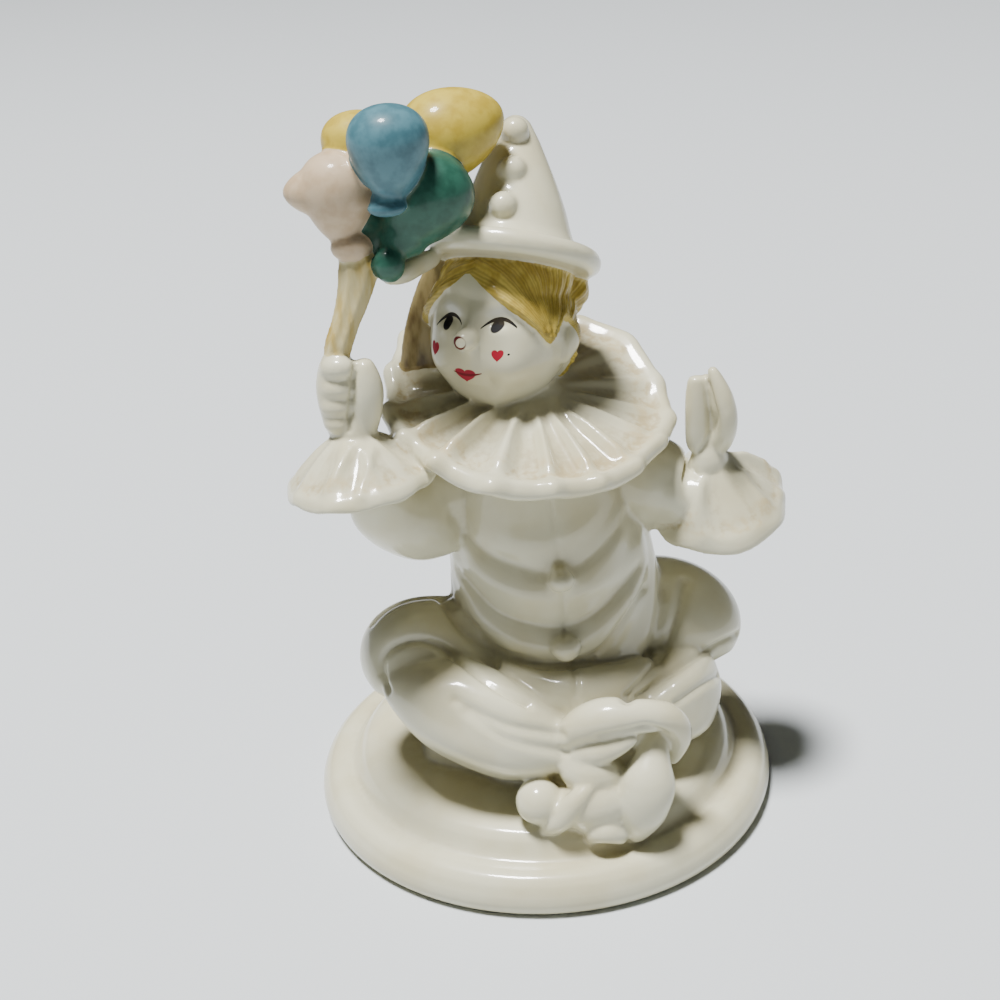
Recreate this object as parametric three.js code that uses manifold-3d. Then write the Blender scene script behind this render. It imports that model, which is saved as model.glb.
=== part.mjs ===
// Ceramic clown figurine: a seated pierrot with a bunch of balloons, slip-cast and fired in one piece.
// Millimetres, +Z up. The origin is the centre of the flat underside, the viewer looks along +Y,
// and "left" and "right" are the viewer's.
import * as THREE from 'three';
import { mergeVertices } from 'three/addons/utils/BufferGeometryUtils.js';
import Module from 'manifold-3d';

const wasm = await Module();
wasm.setup();

// Driving dimensions
const BASE_RADIUS = 42;
const BASE_HEIGHT = 12.6;
const COLLAR_RADIUS = 24.6;
const COLLAR_PLEATS = 19;
const CUFF_RADIUS = 12.2;
const CUFF_PLEATS = 10;
const HEAD_RADIUS = 11.6;
const HEAD_TURN = 34;
const HAT_RADIUS = 9.2;
const HAT_HEIGHT = 22.4;
const HAT_LEAN = 27;
const BRIM_RADIUS = 14.4;
const BRIM_TILT = 0.11;
const POMPOM_RADIUS = 2.25;
const BUTTON_RADIUS = 2.1;
const TOE_POMPOM_RADIUS = 4;
const FINGER_RADIUS = 1.5;
const BLOUSE_FOLD = 1;
const BLOUSE_FOLD_SPACING = 10;
const BLOUSE_FOLD_SAG = 8;
const TROUSER_FOLD = 0.6;
const SEAT_WIDTH = 62;
const SEAT_DEPTH = 44;
const SEAT_HEIGHT = 23;
const SEAT_FOLD = 0.9;
const SEAT_FOLDS = 9;

// Places of the main forms
const SEAT_CENTRE = [3, -3.5, 11];
const COLLAR_CENTRE = [0.6, -4.5, 81.6];
const HEAD_CENTRE = [-3.4, -2.5, 90.7];
const BRIM_CENTRE = [-0.6, 0, 103];
const LEFT_WRIST = [-27.5, -16.5, 80.5];
const RIGHT_WRIST = [31, -4, 65.5];

const radians = THREE.MathUtils.degToRad;
const ramp = THREE.MathUtils.smoothstep;
const vector = (place) => new THREE.Vector3(...place);

// Grids, solids and joining

// Leaves only positions, shares the vertices and drops the triangles that have closed up on the axis.
function weld(geometry) {
  geometry.deleteAttribute('normal');
  geometry.deleteAttribute('uv');
  const welded = mergeVertices(geometry, 1e-4);
  const corners = welded.index.array;
  const kept = [];
  for (let i = 0; i < corners.length; i += 3) {
    const [a, b, c] = [corners[i], corners[i + 1], corners[i + 2]];
    if (a !== b && b !== c && c !== a) kept.push(a, b, c);
  }
  welded.setIndex(kept);
  return welded;
}

function solid(geometry) {
  return new wasm.Manifold(new wasm.Mesh({
    numProp: 3,
    vertProperties: Float32Array.from(geometry.attributes.position.array),
    triVerts: Uint32Array.from(geometry.index.array),
  }));
}

// A ball's grid with its poles on Z, each vertex moved to the place that a function of its direction gives.
function form(across, along, place) {
  const grid = weld(new THREE.SphereGeometry(1, across, along).rotateX(Math.PI / 2));
  const position = grid.attributes.position;
  const direction = new THREE.Vector3();
  for (let i = 0; i < position.count; i += 1) {
    direction.fromBufferAttribute(position, i).normalize();
    position.setXYZ(i, ...place(direction).toArray());
  }
  return solid(grid);
}

function lathe(profile, segments) {
  const points = profile.map(([radius, height]) => new THREE.Vector2(radius, height));
  return weld(new THREE.LatheGeometry(points, segments).rotateX(Math.PI / 2));
}

function join(solids) {
  return solids.reduce((whole, next) => whole.add(next));
}

function turned(degrees) {
  return new THREE.Euler(...degrees.map(radians), 'ZYX');
}

// Building forms

// An ellipsoid, turned in degrees; relief(direction) is how far its skin stands out, in millimetres.
function blob(centre, radii, { turn = [0, 0, 0], across = 8, along = 5, relief = () => 0 } = {}) {
  const euler = turned(turn);
  return form(across, along, (d) => {
    const p = new THREE.Vector3(d.x * radii[0], d.y * radii[1], d.z * radii[2]);
    return p.addScaledVector(d, relief(d)).applyEuler(euler).add(vector(centre));
  });
}

function ball(centre, radius, counts) {
  return blob(centre, [radius, radius, radius], counts);
}

// A balloon: an egg whose narrow end points along aim.
function balloon(centre, [radius, half], aim, narrow = 0.3) {
  const upright = new THREE.Vector3(0, 0, 1);
  const towards = new THREE.Quaternion().setFromUnitVectors(upright, vector(aim).normalize());
  return form(9, 6, (d) => {
    const width = radius * (1 - narrow * d.z);
    const place = new THREE.Vector3(d.x * width, d.y * width, d.z * half);
    return place.applyQuaternion(towards).add(vector(centre));
  });
}

// A round-ended limb through nodes [x, y, z, half width, half height]. Its height lies towards up, and
// relief(t, angle, centre) is how far its skin stands out at that part of the way and angle from its width.
function limb(nodes, { across = 8, along = 6, end = 0.36, up = [0, 0, 1], relief = () => 0 } = {}) {
  const curve = (places) => new THREE.CatmullRomCurve3(places, false, 'centripetal');
  const spine = curve(nodes.map(([x, y, z]) => new THREE.Vector3(x, y, z)));
  const girth = curve(nodes.map(([, , , wide, high = wide]) => new THREE.Vector3(wide, high, 0)));
  const top = vector(up);
  return form(across, along, (d) => {
    const t = Math.acos(THREE.MathUtils.clamp(d.z, -1, 1)) / Math.PI;
    const ring = Math.hypot(d.x, d.y);
    const centre = spine.getPoint(t);
    if (ring < 1e-6) return centre;
    const size = girth.getPoint(t);
    const forward = spine.getTangent(t).negate();
    const side = new THREE.Vector3().crossVectors(top, forward).normalize();
    const rise = new THREE.Vector3().crossVectors(forward, side);
    const swell = ring ** end / ring;
    const proud = relief(t, Math.atan2(d.y, d.x), centre);
    return centre.clone()
      .addScaledVector(side, d.x * swell * (size.x + proud))
      .addScaledVector(rise, d.y * swell * (size.y + proud));
  });
}

// A pleated frill: a thin flared disc round its own Z, with a wavy edge that turns up a little.
function frill(centre, { radius, drop, pleats, wave, curl, thick, turn, along, lift = () => 0 }) {
  const euler = turned(turn);
  return form(pleats * 3, along, (d) => {
    const reach = Math.hypot(d.x, d.y);
    const angle = Math.atan2(d.y, d.x);
    const pleat = Math.cos(pleats * angle);
    const out = radius * reach * (1 + 0.02 * pleat * reach ** 4);
    const slope = (lift(angle) - drop) * reach ** 1.25;
    const fold = wave * pleat * ramp(reach, 0.25, 0.9);
    const lip = curl * ramp(reach, 0.82, 1);
    const depth = thick * (0.5 + 2 * (1 - reach)) * Math.sqrt(Math.max(0, 1 - reach ** 12));
    const level = slope + fold + lip - (d.z > 0 ? 0 : depth);
    const place = new THREE.Vector3(out * Math.cos(angle), out * Math.sin(angle), level);
    return place.applyEuler(euler).add(vector(centre));
  });
}

// Base: a low round mound with a stepped, rounded rim, a little out of round

function base() {
  const profile = [
    [0, 0], [0.96, 0], [1, 1.4], [0.995, 4.6], [0.965, 6.8], [0.91, 7.8], [0.865, 8.3],
    [0.835, 9.7], [0.78, 10.8], [0.66, 11.5], [0, BASE_HEIGHT],
  ].map(([share, height]) => [share * BASE_RADIUS, height]);
  const round = lathe(profile, 36);
  const position = round.attributes.position;
  for (let i = 0; i < position.count; i += 1) {
    const [x, y] = [position.getX(i), position.getY(i)];
    const angle = Math.atan2(y, x);
    const uneven = 1 + 0.006 * Math.sin(2 * angle + 0.6) - 0.005 * Math.cos(3 * angle);
    position.setXY(i, x * uneven, y * uneven);
  }
  return solid(round);
}

// Body in its loose blouse, with U-shaped folds that hang across the front

function blouseFold(t, angle, centre) {
  const aside = Math.atan2(Math.cos(angle), -Math.sin(angle));
  const phase = (centre.z - BLOUSE_FOLD_SAG * aside ** 2) / BLOUSE_FOLD_SPACING;
  const shown = (1 - ramp(Math.abs(aside), 0.8, 1.5)) * (1 - ramp(centre.z, 58, 66));
  return BLOUSE_FOLD * shown * Math.cos(2 * Math.PI * phase);
}

function body() {
  const blouse = limb([
    [3, 3.5, 12, 22, 19.5],
    [4, 1.5, 27, 21.5, 20],
    [3, -1, 46, 18.6, 17],
    [1.2, -2, 60, 16, 14.8],
    [0.5, -3, 72, 14, 12],
    [-0.5, -2, 84, 7, 7],
  ], { across: 22, along: 15, end: 0.3, up: [0, 1, 0], relief: blouseFold });
  const buttons = [[3.6, -18.4, 52.2], [3.7, -18.8, 40.8]].map((place) => ball(place, BUTTON_RADIUS));
  return [blouse, ...buttons];
}

// Crossed legs in wide trousers

// The wide seat of the trousers: a dome that spreads over the base, with folds fanning down its sides.
function seat() {
  return form(22, 8, (d) => {
    const aside = Math.atan2(d.x, d.y);
    const fold = SEAT_FOLD * Math.cos(SEAT_FOLDS * aside + 2 * d.z) * ramp(Math.hypot(d.x, d.y), 0.3, 0.8);
    const height = d.z > 0 ? SEAT_HEIGHT * d.z : 4 * d.z;
    const place = new THREE.Vector3(d.x * (SEAT_WIDTH / 2 + fold), d.y * (SEAT_DEPTH / 2 + fold), height);
    return place.add(vector(SEAT_CENTRE));
  });
}

function legs() {
  const sweep = (t, angle) => TROUSER_FOLD * Math.cos(5 * angle + 1.5 * t) * ramp(t, 0.15, 0.5);
  const leftThigh = limb([
    [3, -1, 27, 15, 12],
    [-12, -5, 30, 11, 10.5],
    [-24, -8.5, 33, 9.2, 9.6],
    [-26.5, -10, 26, 7, 8],
  ], { across: 10, up: [0, 1, 0.3] });
  const leftShin = limb([
    [-28, -15.5, 34.5, 6.6, 7],
    [-17, -19, 30.5, 8.4, 9.4],
    [-5, -23.5, 25.5, 7.5, 9],
    [7, -25, 22, 6, 7],
  ], { across: 12, along: 7, end: 0.42, relief: sweep });
  const rightThigh = limb([
    [6, 2, 28, 14, 13],
    [20, 2, 32, 11, 12],
    [29, 1, 30, 9, 10.5],
    [31.5, -1.5, 24, 8, 9],
  ], { across: 10, up: [0, 1, 0.3] });
  const rightShin = limb([
    [31, -4, 25, 6.5, 8],
    [23, -12, 24, 8, 9],
    [15, -20, 23, 7.5, 8],
  ], { across: 12, relief: sweep });
  return [seat(), leftThigh, leftShin, rightThigh, rightShin];
}

// Feet: the trouser hem, the two pointed shoes and the pompom toe

function feet() {
  const hem = limb([
    [4.5, -26.5, 24, 3.2, 4],
    [10, -27, 28, 4, 3.4],
    [18, -26, 28.6, 4, 3.4],
    [22.5, -25, 24, 3.4, 4],
  ], { along: 7 });
  const shoe = limb([
    [17.8, -27.5, 28, 3.2, 3.2],
    [18.2, -30, 21.5, 4.4, 4],
    [16.6, -32.2, 14.5, 4.4, 3.8],
    [14.6, -33.3, 10.8, 2.8, 2.4],
  ], { up: [0, 1, 0] });
  const flap = limb([
    [-0.5, -29.5, 15.5, 3, 3],
    [5, -29.8, 19.5, 4.2, 3.6],
    [10.5, -29.6, 24.3, 3, 2.6],
    [14, -29.4, 27, 1.3, 1.2],
  ], { along: 7, up: [0, 1, 0] });
  const sole = limb([[3, -31, 13, 3, 3], [8.5, -31.6, 12.4, 4.4, 3.2], [13, -31, 14, 3, 3]], { along: 6 });
  const ankle = blob([10, -26.5, 19], [9, 4.5, 7]);
  const pompom = ball([-2.2, -30.2, 16.2], TOE_POMPOM_RADIUS, { across: 10, along: 6 });
  return [hem, shoe, flap, sole, ankle, pompom];
}

// Sleeves, cuffs and hands

function cuff([x, y, z], turn) {
  return frill([x, y, z], {
    radius: CUFF_RADIUS, drop: 9.5, pleats: CUFF_PLEATS, wave: 0.7, curl: 0.7, thick: 1.6, turn, along: 6,
  });
}

function leftArm() {
  const [x, y, z] = LEFT_WRIST;
  const sleeve = limb([
    [-10, -3, 68, 8, 9],
    [-18, -5.5, 60.5, 8, 9.5],
    [-24.5, -10.5, 64, 7.5, 8],
    [-27, -14.5, 73, 5, 6],
  ], { across: 10, relief: (t, angle) => 0.5 * Math.cos(3 * angle + 3 * t) });
  const wrist = limb([
    [x - 0.5, y, z - 4, 3.4, 3.2],
    [x - 0.2, y - 0.3, z + 4, 3, 2.8],
  ], { along: 5, up: [0, 1, 0] });
  const palm = blob([-28.4, -16, 87.6], [3.2, 2.9, 5.6]);
  const thumb = limb([
    [-25.6, -15.5, 81, 2.6, 2.8],
    [-24.9, -15.5, 86.5, 2.8, 3],
    [-26, -15.8, 91.8, 1.5, 1.8],
  ], { up: [0, 1, 0] });
  const fingers = [0, 1, 2, 3].map((i) => limb([
    [-31.4, -15.4, 84.2 + i * 2.45, FINGER_RADIUS],
    [-30.6, -18.2, 83.9 + i * 2.45, FINGER_RADIUS * 1.15],
    [-27.8, -19, 83.7 + i * 2.45, FINGER_RADIUS],
  ], { across: 6, along: 4 }));
  return [sleeve, cuff([x - 1, y, z + 1], [-5, -7, 0]), wrist, palm, thumb, ...fingers];
}

function rightArm() {
  const [x, y, z] = RIGHT_WRIST;
  const sleeve = limb([
    [11, -2, 67, 8, 9],
    [20, -2, 61.5, 7.5, 8.5],
    [27, -3, 59, 6.5, 6.5],
    [30, -4, 62, 5, 5],
  ], { across: 10, relief: (t, angle) => 0.5 * Math.cos(3 * angle - 2 * t) });
  const wrist = limb([
    [x - 0.4, y, z - 3, 3.4, 3.4],
    [x, y, z + 6, 2.8, 3],
  ], { along: 5, up: [0, 1, 0] });
  const palm = limb([
    [x - 0.4, y, z + 2, 3.2, 2.8],
    [x + 0.9, y, z + 9.5, 3.2, 2.4],
    [x + 1.3, y, z + 16.5, 1.9, 1.6],
  ], { along: 7, up: [0, 1, 0] });
  const thumb = limb([
    [x - 2.6, y - 1, z + 3.6, 1.9, 1.9],
    [x - 3.3, y - 1.4, z + 9, 1.8, 1.8],
    [x - 2.9, y - 1.4, z + 15, 1.2, 1.2],
  ], { up: [0, 1, 0] });
  return [sleeve, cuff([x + 1, y, z - 1], [12, -4, 0]), wrist, palm, thumb];
}

// The collar stands up behind the head

function collar() {
  return frill(COLLAR_CENTRE, {
    radius: COLLAR_RADIUS, drop: 4.4, pleats: COLLAR_PLEATS, wave: 0.9, curl: 0.9, thick: 2.6,
    turn: [10, 8, 0], along: 7, lift: (angle) => 5.5 * ramp(Math.sin(angle), -0.1, 0.8),
  });
}

// Head and hair

// A place given on the head as right, forward and up from its centre.
function onHead(right, forward, up) {
  const turn = radians(HEAD_TURN);
  const [x, y, z] = HEAD_CENTRE;
  return [
    x + right * Math.cos(turn) - forward * Math.sin(turn),
    y - right * Math.sin(turn) - forward * Math.cos(turn),
    z + up,
  ];
}

// A soft swelling of the face's skin, centred at degrees right and up from straight ahead.
function swelling(d, right, up, width, height, depth) {
  const aside = THREE.MathUtils.radToDeg(Math.atan2(d.x, -d.y)) - right;
  const above = THREE.MathUtils.radToDeg(Math.asin(THREE.MathUtils.clamp(d.z, -1, 1))) - up;
  return depth * Math.exp(-((aside / width) ** 2) - (above / height) ** 2);
}

function faceRelief(d) {
  const pairs = [-1, 1].map((s) => swelling(d, s * 33, -14, 20, 18, 0.9)
    + swelling(d, s * 24, 19, 13, 9, -0.8)).reduce((sum, value) => sum + value);
  const mouth = swelling(d, 0, -27, 17, 10, 0.6);
  const chin = swelling(d, 0, -52, 30, 18, 0.35);
  const bridge = swelling(d, 0, 6, 10, 15, 0.8);
  return pairs + mouth + chin + bridge;
}

// How high up the head the hair begins, in degrees, by degrees away from straight ahead: high over the
// parting, falling in a fringe to the cheek, over the ear and down to the nape.
function hairline(aside) {
  const fringe = 60 - 58 * Math.min(1, aside / 76) ** 2.6;
  return fringe + 6 * ramp(aside, 76, 92) - 62 * ramp(aside, 100, 124);
}

function headRelief(d) {
  const aside = Math.abs(THREE.MathUtils.radToDeg(Math.atan2(d.x, -d.y)));
  const above = THREE.MathUtils.radToDeg(Math.asin(THREE.MathUtils.clamp(d.z, -1, 1)));
  const hair = ramp(above - hairline(aside), -4, 4);
  return hair + (1 - hair) * faceRelief(d);
}

function head() {
  const turn = [0, 0, -HEAD_TURN];
  const skull = blob(HEAD_CENTRE, [HEAD_RADIUS, HEAD_RADIUS, HEAD_RADIUS + 0.3], {
    turn, across: 22, along: 12, relief: headRelief,
  });
  const nose = blob(onHead(0, HEAD_RADIUS + 0.9, 0.9), [1.5, 1.6, 1.5], { turn });
  const ear = blob(onHead(HEAD_RADIUS - 0.2, -1, -2.5), [1.3, 2.1, 3.4], { turn });
  const fringe = [-1, 1].map((s) => limb([
    [...onHead(s * 1, 6.6, 10.2), 2.2, 1.4],
    [...onHead(s * 4.8, 7.2, 8.6), 2.4, 1.4],
    [...onHead(s * 8.4, 5.6, 5.6), 2.4, 1.4],
    [...onHead(s * 10.6, 2.8, 0), 1.2, 1.1],
  ], { across: 6, end: 0.5 }));
  const crown = blob([-2, -1, 99], [10.8, 10.8, 7], { across: 10 });
  return [skull, nose, ear, ...fringe, crown];
}

// The pointed hat, pushed back on the head, with three pompoms down its front

function hat() {
  const lean = new THREE.Euler(-radians(HAT_LEAN), radians(5), 0, 'XYZ');
  const profile = [
    [0, -2.2], [BRIM_RADIUS - 3, -2.2], [BRIM_RADIUS - 0.8, -1.6],
    [BRIM_RADIUS, -0.3], [BRIM_RADIUS - 0.3, 0.9], [BRIM_RADIUS - 1.6, 1.5],
    [HAT_RADIUS + 1.3, 1.5], [HAT_RADIUS, 2.6], [HAT_RADIUS * 0.84, 7],
    [HAT_RADIUS * 0.62, 12.4], [HAT_RADIUS * 0.38, 18], [HAT_RADIUS * 0.2, 21.8], [0, HAT_HEIGHT],
  ];
  const geometry = lathe(profile, 20);
  const position = geometry.attributes.position;
  for (let i = 0; i < position.count; i += 1) {
    const [x, z] = [position.getX(i), position.getZ(i)];
    position.setZ(i, z - BRIM_TILT * x * (1 - ramp(z, 2, 10)));
  }
  const place = (p) => p.applyEuler(lean).add(vector(BRIM_CENTRE));
  geometry.applyMatrix4(new THREE.Matrix4().makeRotationFromEuler(lean)).translate(...BRIM_CENTRE);
  const pompoms = [[17.6, 0.3, 0], [11.8, 0.56, 6], [5.4, 0.86, 12]].map(([height, share, aside]) => {
    const around = radians(-90 - aside);
    const reach = HAT_RADIUS * share;
    const centre = place(new THREE.Vector3(Math.cos(around) * reach, Math.sin(around) * reach, height));
    return ball(centre.toArray(), POMPOM_RADIUS);
  });
  return [solid(geometry), ...pompoms];
}

// Balloons on their gathered strings, and the webs of clay that tie them to the hat and the hat to the collar

function balloons() {
  const down = [0, -0.15, -1];
  const bunch = [
    balloon([-26.8, -11, 117.4], [5.4, 7], down),
    balloon([-31.4, -11, 118.4], [3.4, 3.6], [-1, 0, 0]),
    balloon([-23.4, -6, 123.2], [5.2, 6], down),
    balloon([-18.7, -14.5, 124.4], [5.8, 7], down),
    balloon([-14.4, -9, 113], [6.2, 7.4], [-0.7, -0.2, -0.7]),
    balloon([-8.7, 1.4, 122.9], [6.1, 8], [0.8, 0.5, -0.35], 0.2),
    blob([-17, -6, 118.5], [6.5, 6, 4.5], { across: 6, along: 4 }),
  ];
  const ends = [
    blob([-18.9, -16.6, 116.7], [3.1, 2.2, 2.3]),
    blob([-26.6, -12, 109.7], [2.9, 2.6, 2.5]),
    blob([-20.2, -14.4, 107.2], [2.6, 2.4, 2.7]),
  ];
  return [...bunch, ...ends];
}

function webs() {
  const strings = limb([
    [-29, -16, 91, 1.9],
    [-28, -14.6, 97, 2.3, 2.1],
    [-26.4, -13.4, 102.5, 3.4, 2.6],
    [-24.2, -12.4, 108, 4.6, 3.4],
    [-23.4, -11, 113, 3.4, 3],
  ], { along: 8, up: [0, 1, 0] });
  const bridge = limb([
    [-21, -11.5, 108, 2.2, 2],
    [-16, -8, 106.6, 2.2, 2],
    [-11, -3, 105.8, 2.4, 2],
  ]);
  const stay = limb([
    [-18, 1, 79, 4.6, 1.8],
    [-14.5, 2, 90, 5, 1.7],
    [-11, 3, 102, 4.6, 1.8],
  ], { up: [0, 1, 0], end: 0.2 });
  return [strings, bridge, stay];
}

const figurine = join([
  base(), ...body(), ...legs(), ...feet(), ...leftArm(), ...rightArm(), collar(), ...head(), ...hat(),
  ...balloons(), ...webs(),
]);

function toGeometry(whole) {
  const mesh = whole.getMesh();
  const geometry = new THREE.BufferGeometry();
  geometry.setAttribute('position', new THREE.BufferAttribute(mesh.vertProperties, 3));
  geometry.setIndex(new THREE.BufferAttribute(mesh.triVerts, 1));
  return geometry;
}

const ceramic = new THREE.MeshStandardMaterial({ color: 0xe3ddc8, roughness: 0.35, metalness: 0 });
const clown = new THREE.Mesh(toGeometry(figurine), ceramic);
clown.name = 'clown_figurine';

const group = new THREE.Group();
group.add(clown);

export default group;
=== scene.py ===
# %% [markdown]
# # Ceramic clown figurine
# A seated pierrot with a bunch of balloons, slip-cast in one piece and painted by hand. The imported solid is
# the frame: it gives the place and the size, and one finely carved casting stands in for it here.
# The casting is made of soft forms that a voxel remesh melts into one skin, as slip does in a mould.
# Creases and seams are then pressed in, and the paint is masks that follow the forms and the face.

# %% Load the frame
import math

import bpy
import numpy as np
from mathutils import Matrix, Vector
from mathutils.bvhtree import BVHTree


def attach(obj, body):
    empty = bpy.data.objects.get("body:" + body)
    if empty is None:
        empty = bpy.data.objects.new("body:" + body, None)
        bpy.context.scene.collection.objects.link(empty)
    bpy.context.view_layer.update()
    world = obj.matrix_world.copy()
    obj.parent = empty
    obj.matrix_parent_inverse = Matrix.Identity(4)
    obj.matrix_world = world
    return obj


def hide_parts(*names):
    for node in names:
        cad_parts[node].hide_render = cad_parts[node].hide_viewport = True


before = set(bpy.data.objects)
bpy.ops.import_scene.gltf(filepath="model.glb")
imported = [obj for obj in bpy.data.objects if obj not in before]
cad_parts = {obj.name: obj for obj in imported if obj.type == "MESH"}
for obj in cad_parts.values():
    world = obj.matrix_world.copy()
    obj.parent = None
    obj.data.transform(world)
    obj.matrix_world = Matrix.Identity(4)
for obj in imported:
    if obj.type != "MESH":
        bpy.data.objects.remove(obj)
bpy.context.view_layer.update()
bpy.ops.object.select_all(action="DESELECT")
NODE = "clown_figurine"
MM = 0.001

# %% [markdown]
# The camera comes first, because pixels of the photograph place the eyes, the mouth and the creases. It
# looks down on the figurine from the front, a little rolled. A ray through a pixel finds the same place on
# the casting from any side.

# %% Camera
PICTURE = 1000
FOCAL_PIXELS = 1600
SENSOR_MM = 36
CAMERA_PLACE = np.array([-5.47, -251.16, 181.92])
CAMERA_ELEVATION = math.radians(26.19)
CAMERA_ROLL = math.radians(-3.858)

level = np.array([1.0, 0.0, 0.0])
BACK = np.array([0.0, -math.cos(CAMERA_ELEVATION), math.sin(CAMERA_ELEVATION)])
upright = np.cross(BACK, level)
RIGHT = math.cos(CAMERA_ROLL) * level + math.sin(CAMERA_ROLL) * upright
UP = math.cos(CAMERA_ROLL) * upright - math.sin(CAMERA_ROLL) * level


def make_camera():
    bpy.ops.object.camera_add()
    camera = bpy.context.object
    camera.data.sensor_width = SENSOR_MM
    camera.data.lens = FOCAL_PIXELS / PICTURE * SENSOR_MM
    turn = Matrix([RIGHT, UP, BACK]).transposed()
    camera.matrix_world = Matrix.Translation(CAMERA_PLACE * MM) @ turn.to_4x4()
    camera.data.clip_start = 0.01
    bpy.context.scene.camera = camera
    return camera


def pixel_ray(pixel):
    """The direction of the ray through a pixel of the 1000 by 1000 photograph."""
    across = (pixel[0] - PICTURE / 2) / FOCAL_PIXELS
    above = (PICTURE / 2 - pixel[1]) / FOCAL_PIXELS
    ray = RIGHT * across + UP * above - BACK
    return ray / np.linalg.norm(ray)


camera = make_camera()
print("camera at", CAMERA_PLACE, "mm, lens", camera.data.lens)

# %% [markdown]
# Every form starts as a ball whose vertices are moved by a function of their direction. Whole arrays are
# moved at once, in millimetres, and the ball's poles become the ends of a limb or the middle of a frill.
# A form says what paint it carries and how many smoothing steps melt it into its neighbours.

# %% Tools for soft forms
LEFT_OVER = 1e-9
forms = []
frills = {}


def ramp(x, low, high):
    t = np.clip((np.asarray(x, float) - low) / (high - low), 0, 1)
    return t * t * (3 - 2 * t)


def unit(v):
    return v / np.maximum(np.linalg.norm(v, axis=-1, keepdims=True), LEFT_OVER)


def turn_matrix(degrees):
    x, y, z = [math.radians(a) for a in degrees]
    turn = Matrix.Rotation(z, 3, "Z") @ Matrix.Rotation(y, 3, "Y") @ Matrix.Rotation(x, 3, "X")
    return np.array(turn)


def form(name, paint, across, along, place, soft=3):
    """Adds a ball and moves its vertices to place(directions), in mm."""
    bpy.ops.mesh.primitive_uv_sphere_add(segments=across, ring_count=along, radius=1)
    piece = bpy.context.object
    piece.name = name
    count = len(piece.data.vertices)
    directions = np.empty(count * 3, np.float32)
    piece.data.vertices.foreach_get("co", directions)
    places = place(unit(directions.reshape(-1, 3).astype(float))) * MM
    piece.data.vertices.foreach_set("co", places.astype(np.float32).ravel())
    piece.data.update()
    forms.append((piece, paint, soft))
    return piece


def blob(name, paint, centre, radii, turn=(0, 0, 0), across=48, along=32, relief=None, soft=3):
    """An ellipsoid, turned in degrees; relief(directions) is how far its skin stands out, in mm."""
    spin = turn_matrix(turn)

    def place(d):
        p = d * np.array(radii, float)
        if relief is not None:
            p = p + d * relief(d)[:, None]
        return p @ spin.T + np.array(centre, float)

    return form(name, paint, across, along, place, soft)


def ball(name, paint, centre, radius, soft=3):
    return blob(name, paint, centre, (radius, radius, radius), soft=soft)


def curve(points):
    """A centripetal Catmull-Rom curve through the points, as a function of 0 to 1."""
    p = np.array(points, float)
    padded = np.vstack([2 * p[0] - p[1], p, 2 * p[-1] - p[-2]])

    def at(t):
        s = np.clip(t, 0, 1) * (len(p) - 1)
        i = np.minimum(s.astype(int), len(p) - 2)
        w = (s - i)[:, None]
        p0, p1, p2, p3 = (padded[i + k] for k in range(4))
        gaps = [np.sqrt(np.linalg.norm(b - a, axis=1))[:, None] for a, b in ((p0, p1), (p1, p2), (p2, p3))]
        g0, g1, g2 = [np.maximum(g, 1e-4) for g in gaps]
        m1 = g1 * ((p1 - p0) / g0 - (p2 - p0) / (g0 + g1) + (p2 - p1) / g1)
        m2 = g1 * ((p2 - p1) / g1 - (p3 - p1) / (g1 + g2) + (p3 - p2) / g2)
        return ((((2 * p1 - 2 * p2 + m1 + m2) * w + (3 * p2 - 3 * p1 - 2 * m1 - m2)) * w) + m1) * w + p1

    return at


def limb(name, paint, nodes, across=48, along=40, end=0.36, up=(0, 0, 1), relief=None, soft=3):
    """A round-ended limb through nodes (x, y, z, half width, half height), its height towards up."""
    full = [tuple(n) if len(n) == 5 else tuple(n) + (n[3],) for n in nodes]
    spine = curve([n[:3] for n in full])
    girth = curve([n[3:] for n in full])

    def place(d):
        t = np.arccos(np.clip(d[:, 2], -1, 1)) / math.pi
        ring = np.maximum(np.hypot(d[:, 0], d[:, 1]), 1e-6)
        centre = spine(t)
        size = girth(t)
        step = 1e-3
        ahead = unit(spine(np.minimum(t + step, 1)) - spine(np.maximum(t - step, 0)))
        side = unit(np.cross(np.array(up, float), -ahead))
        rise = np.cross(-ahead, side)
        swell = (ring ** end / ring)[:, None]
        proud = 0 if relief is None else relief(t, np.arctan2(d[:, 1], d[:, 0]), centre)[:, None]
        wide = d[:, :1] * swell * (size[:, :1] + proud)
        high = d[:, 1:2] * swell * (size[:, 1:2] + proud)
        return centre + side * wide + rise * high

    return form(name, paint, across, along, place, soft)


def seen(x, y, depth, *radii):
    """A limb node at the place that a pixel shows in the upright plane at y = depth mm."""
    ray = pixel_ray((x, y))
    return tuple(CAMERA_PLACE + ray * (depth - CAMERA_PLACE[1]) / ray[1]) + radii


def balloon(name, paint, centre, radius, half, aim, narrow=0.3, neck=0.0):
    """An egg whose narrow end points along aim; neck draws that end out into a throat."""
    towards = np.array(Vector((0, 0, 1)).rotation_difference(Vector(aim)).to_matrix())

    def place(d):
        z = d[:, 2]
        width = radius * (1 - narrow * z - neck * ramp(z, 0.2, 0.9))
        p = np.stack([d[:, 0] * width, d[:, 1] * width, half * z], 1)
        return p @ towards.T + np.array(centre, float)

    return form(name, paint, 64, 48, place, 5)


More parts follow.
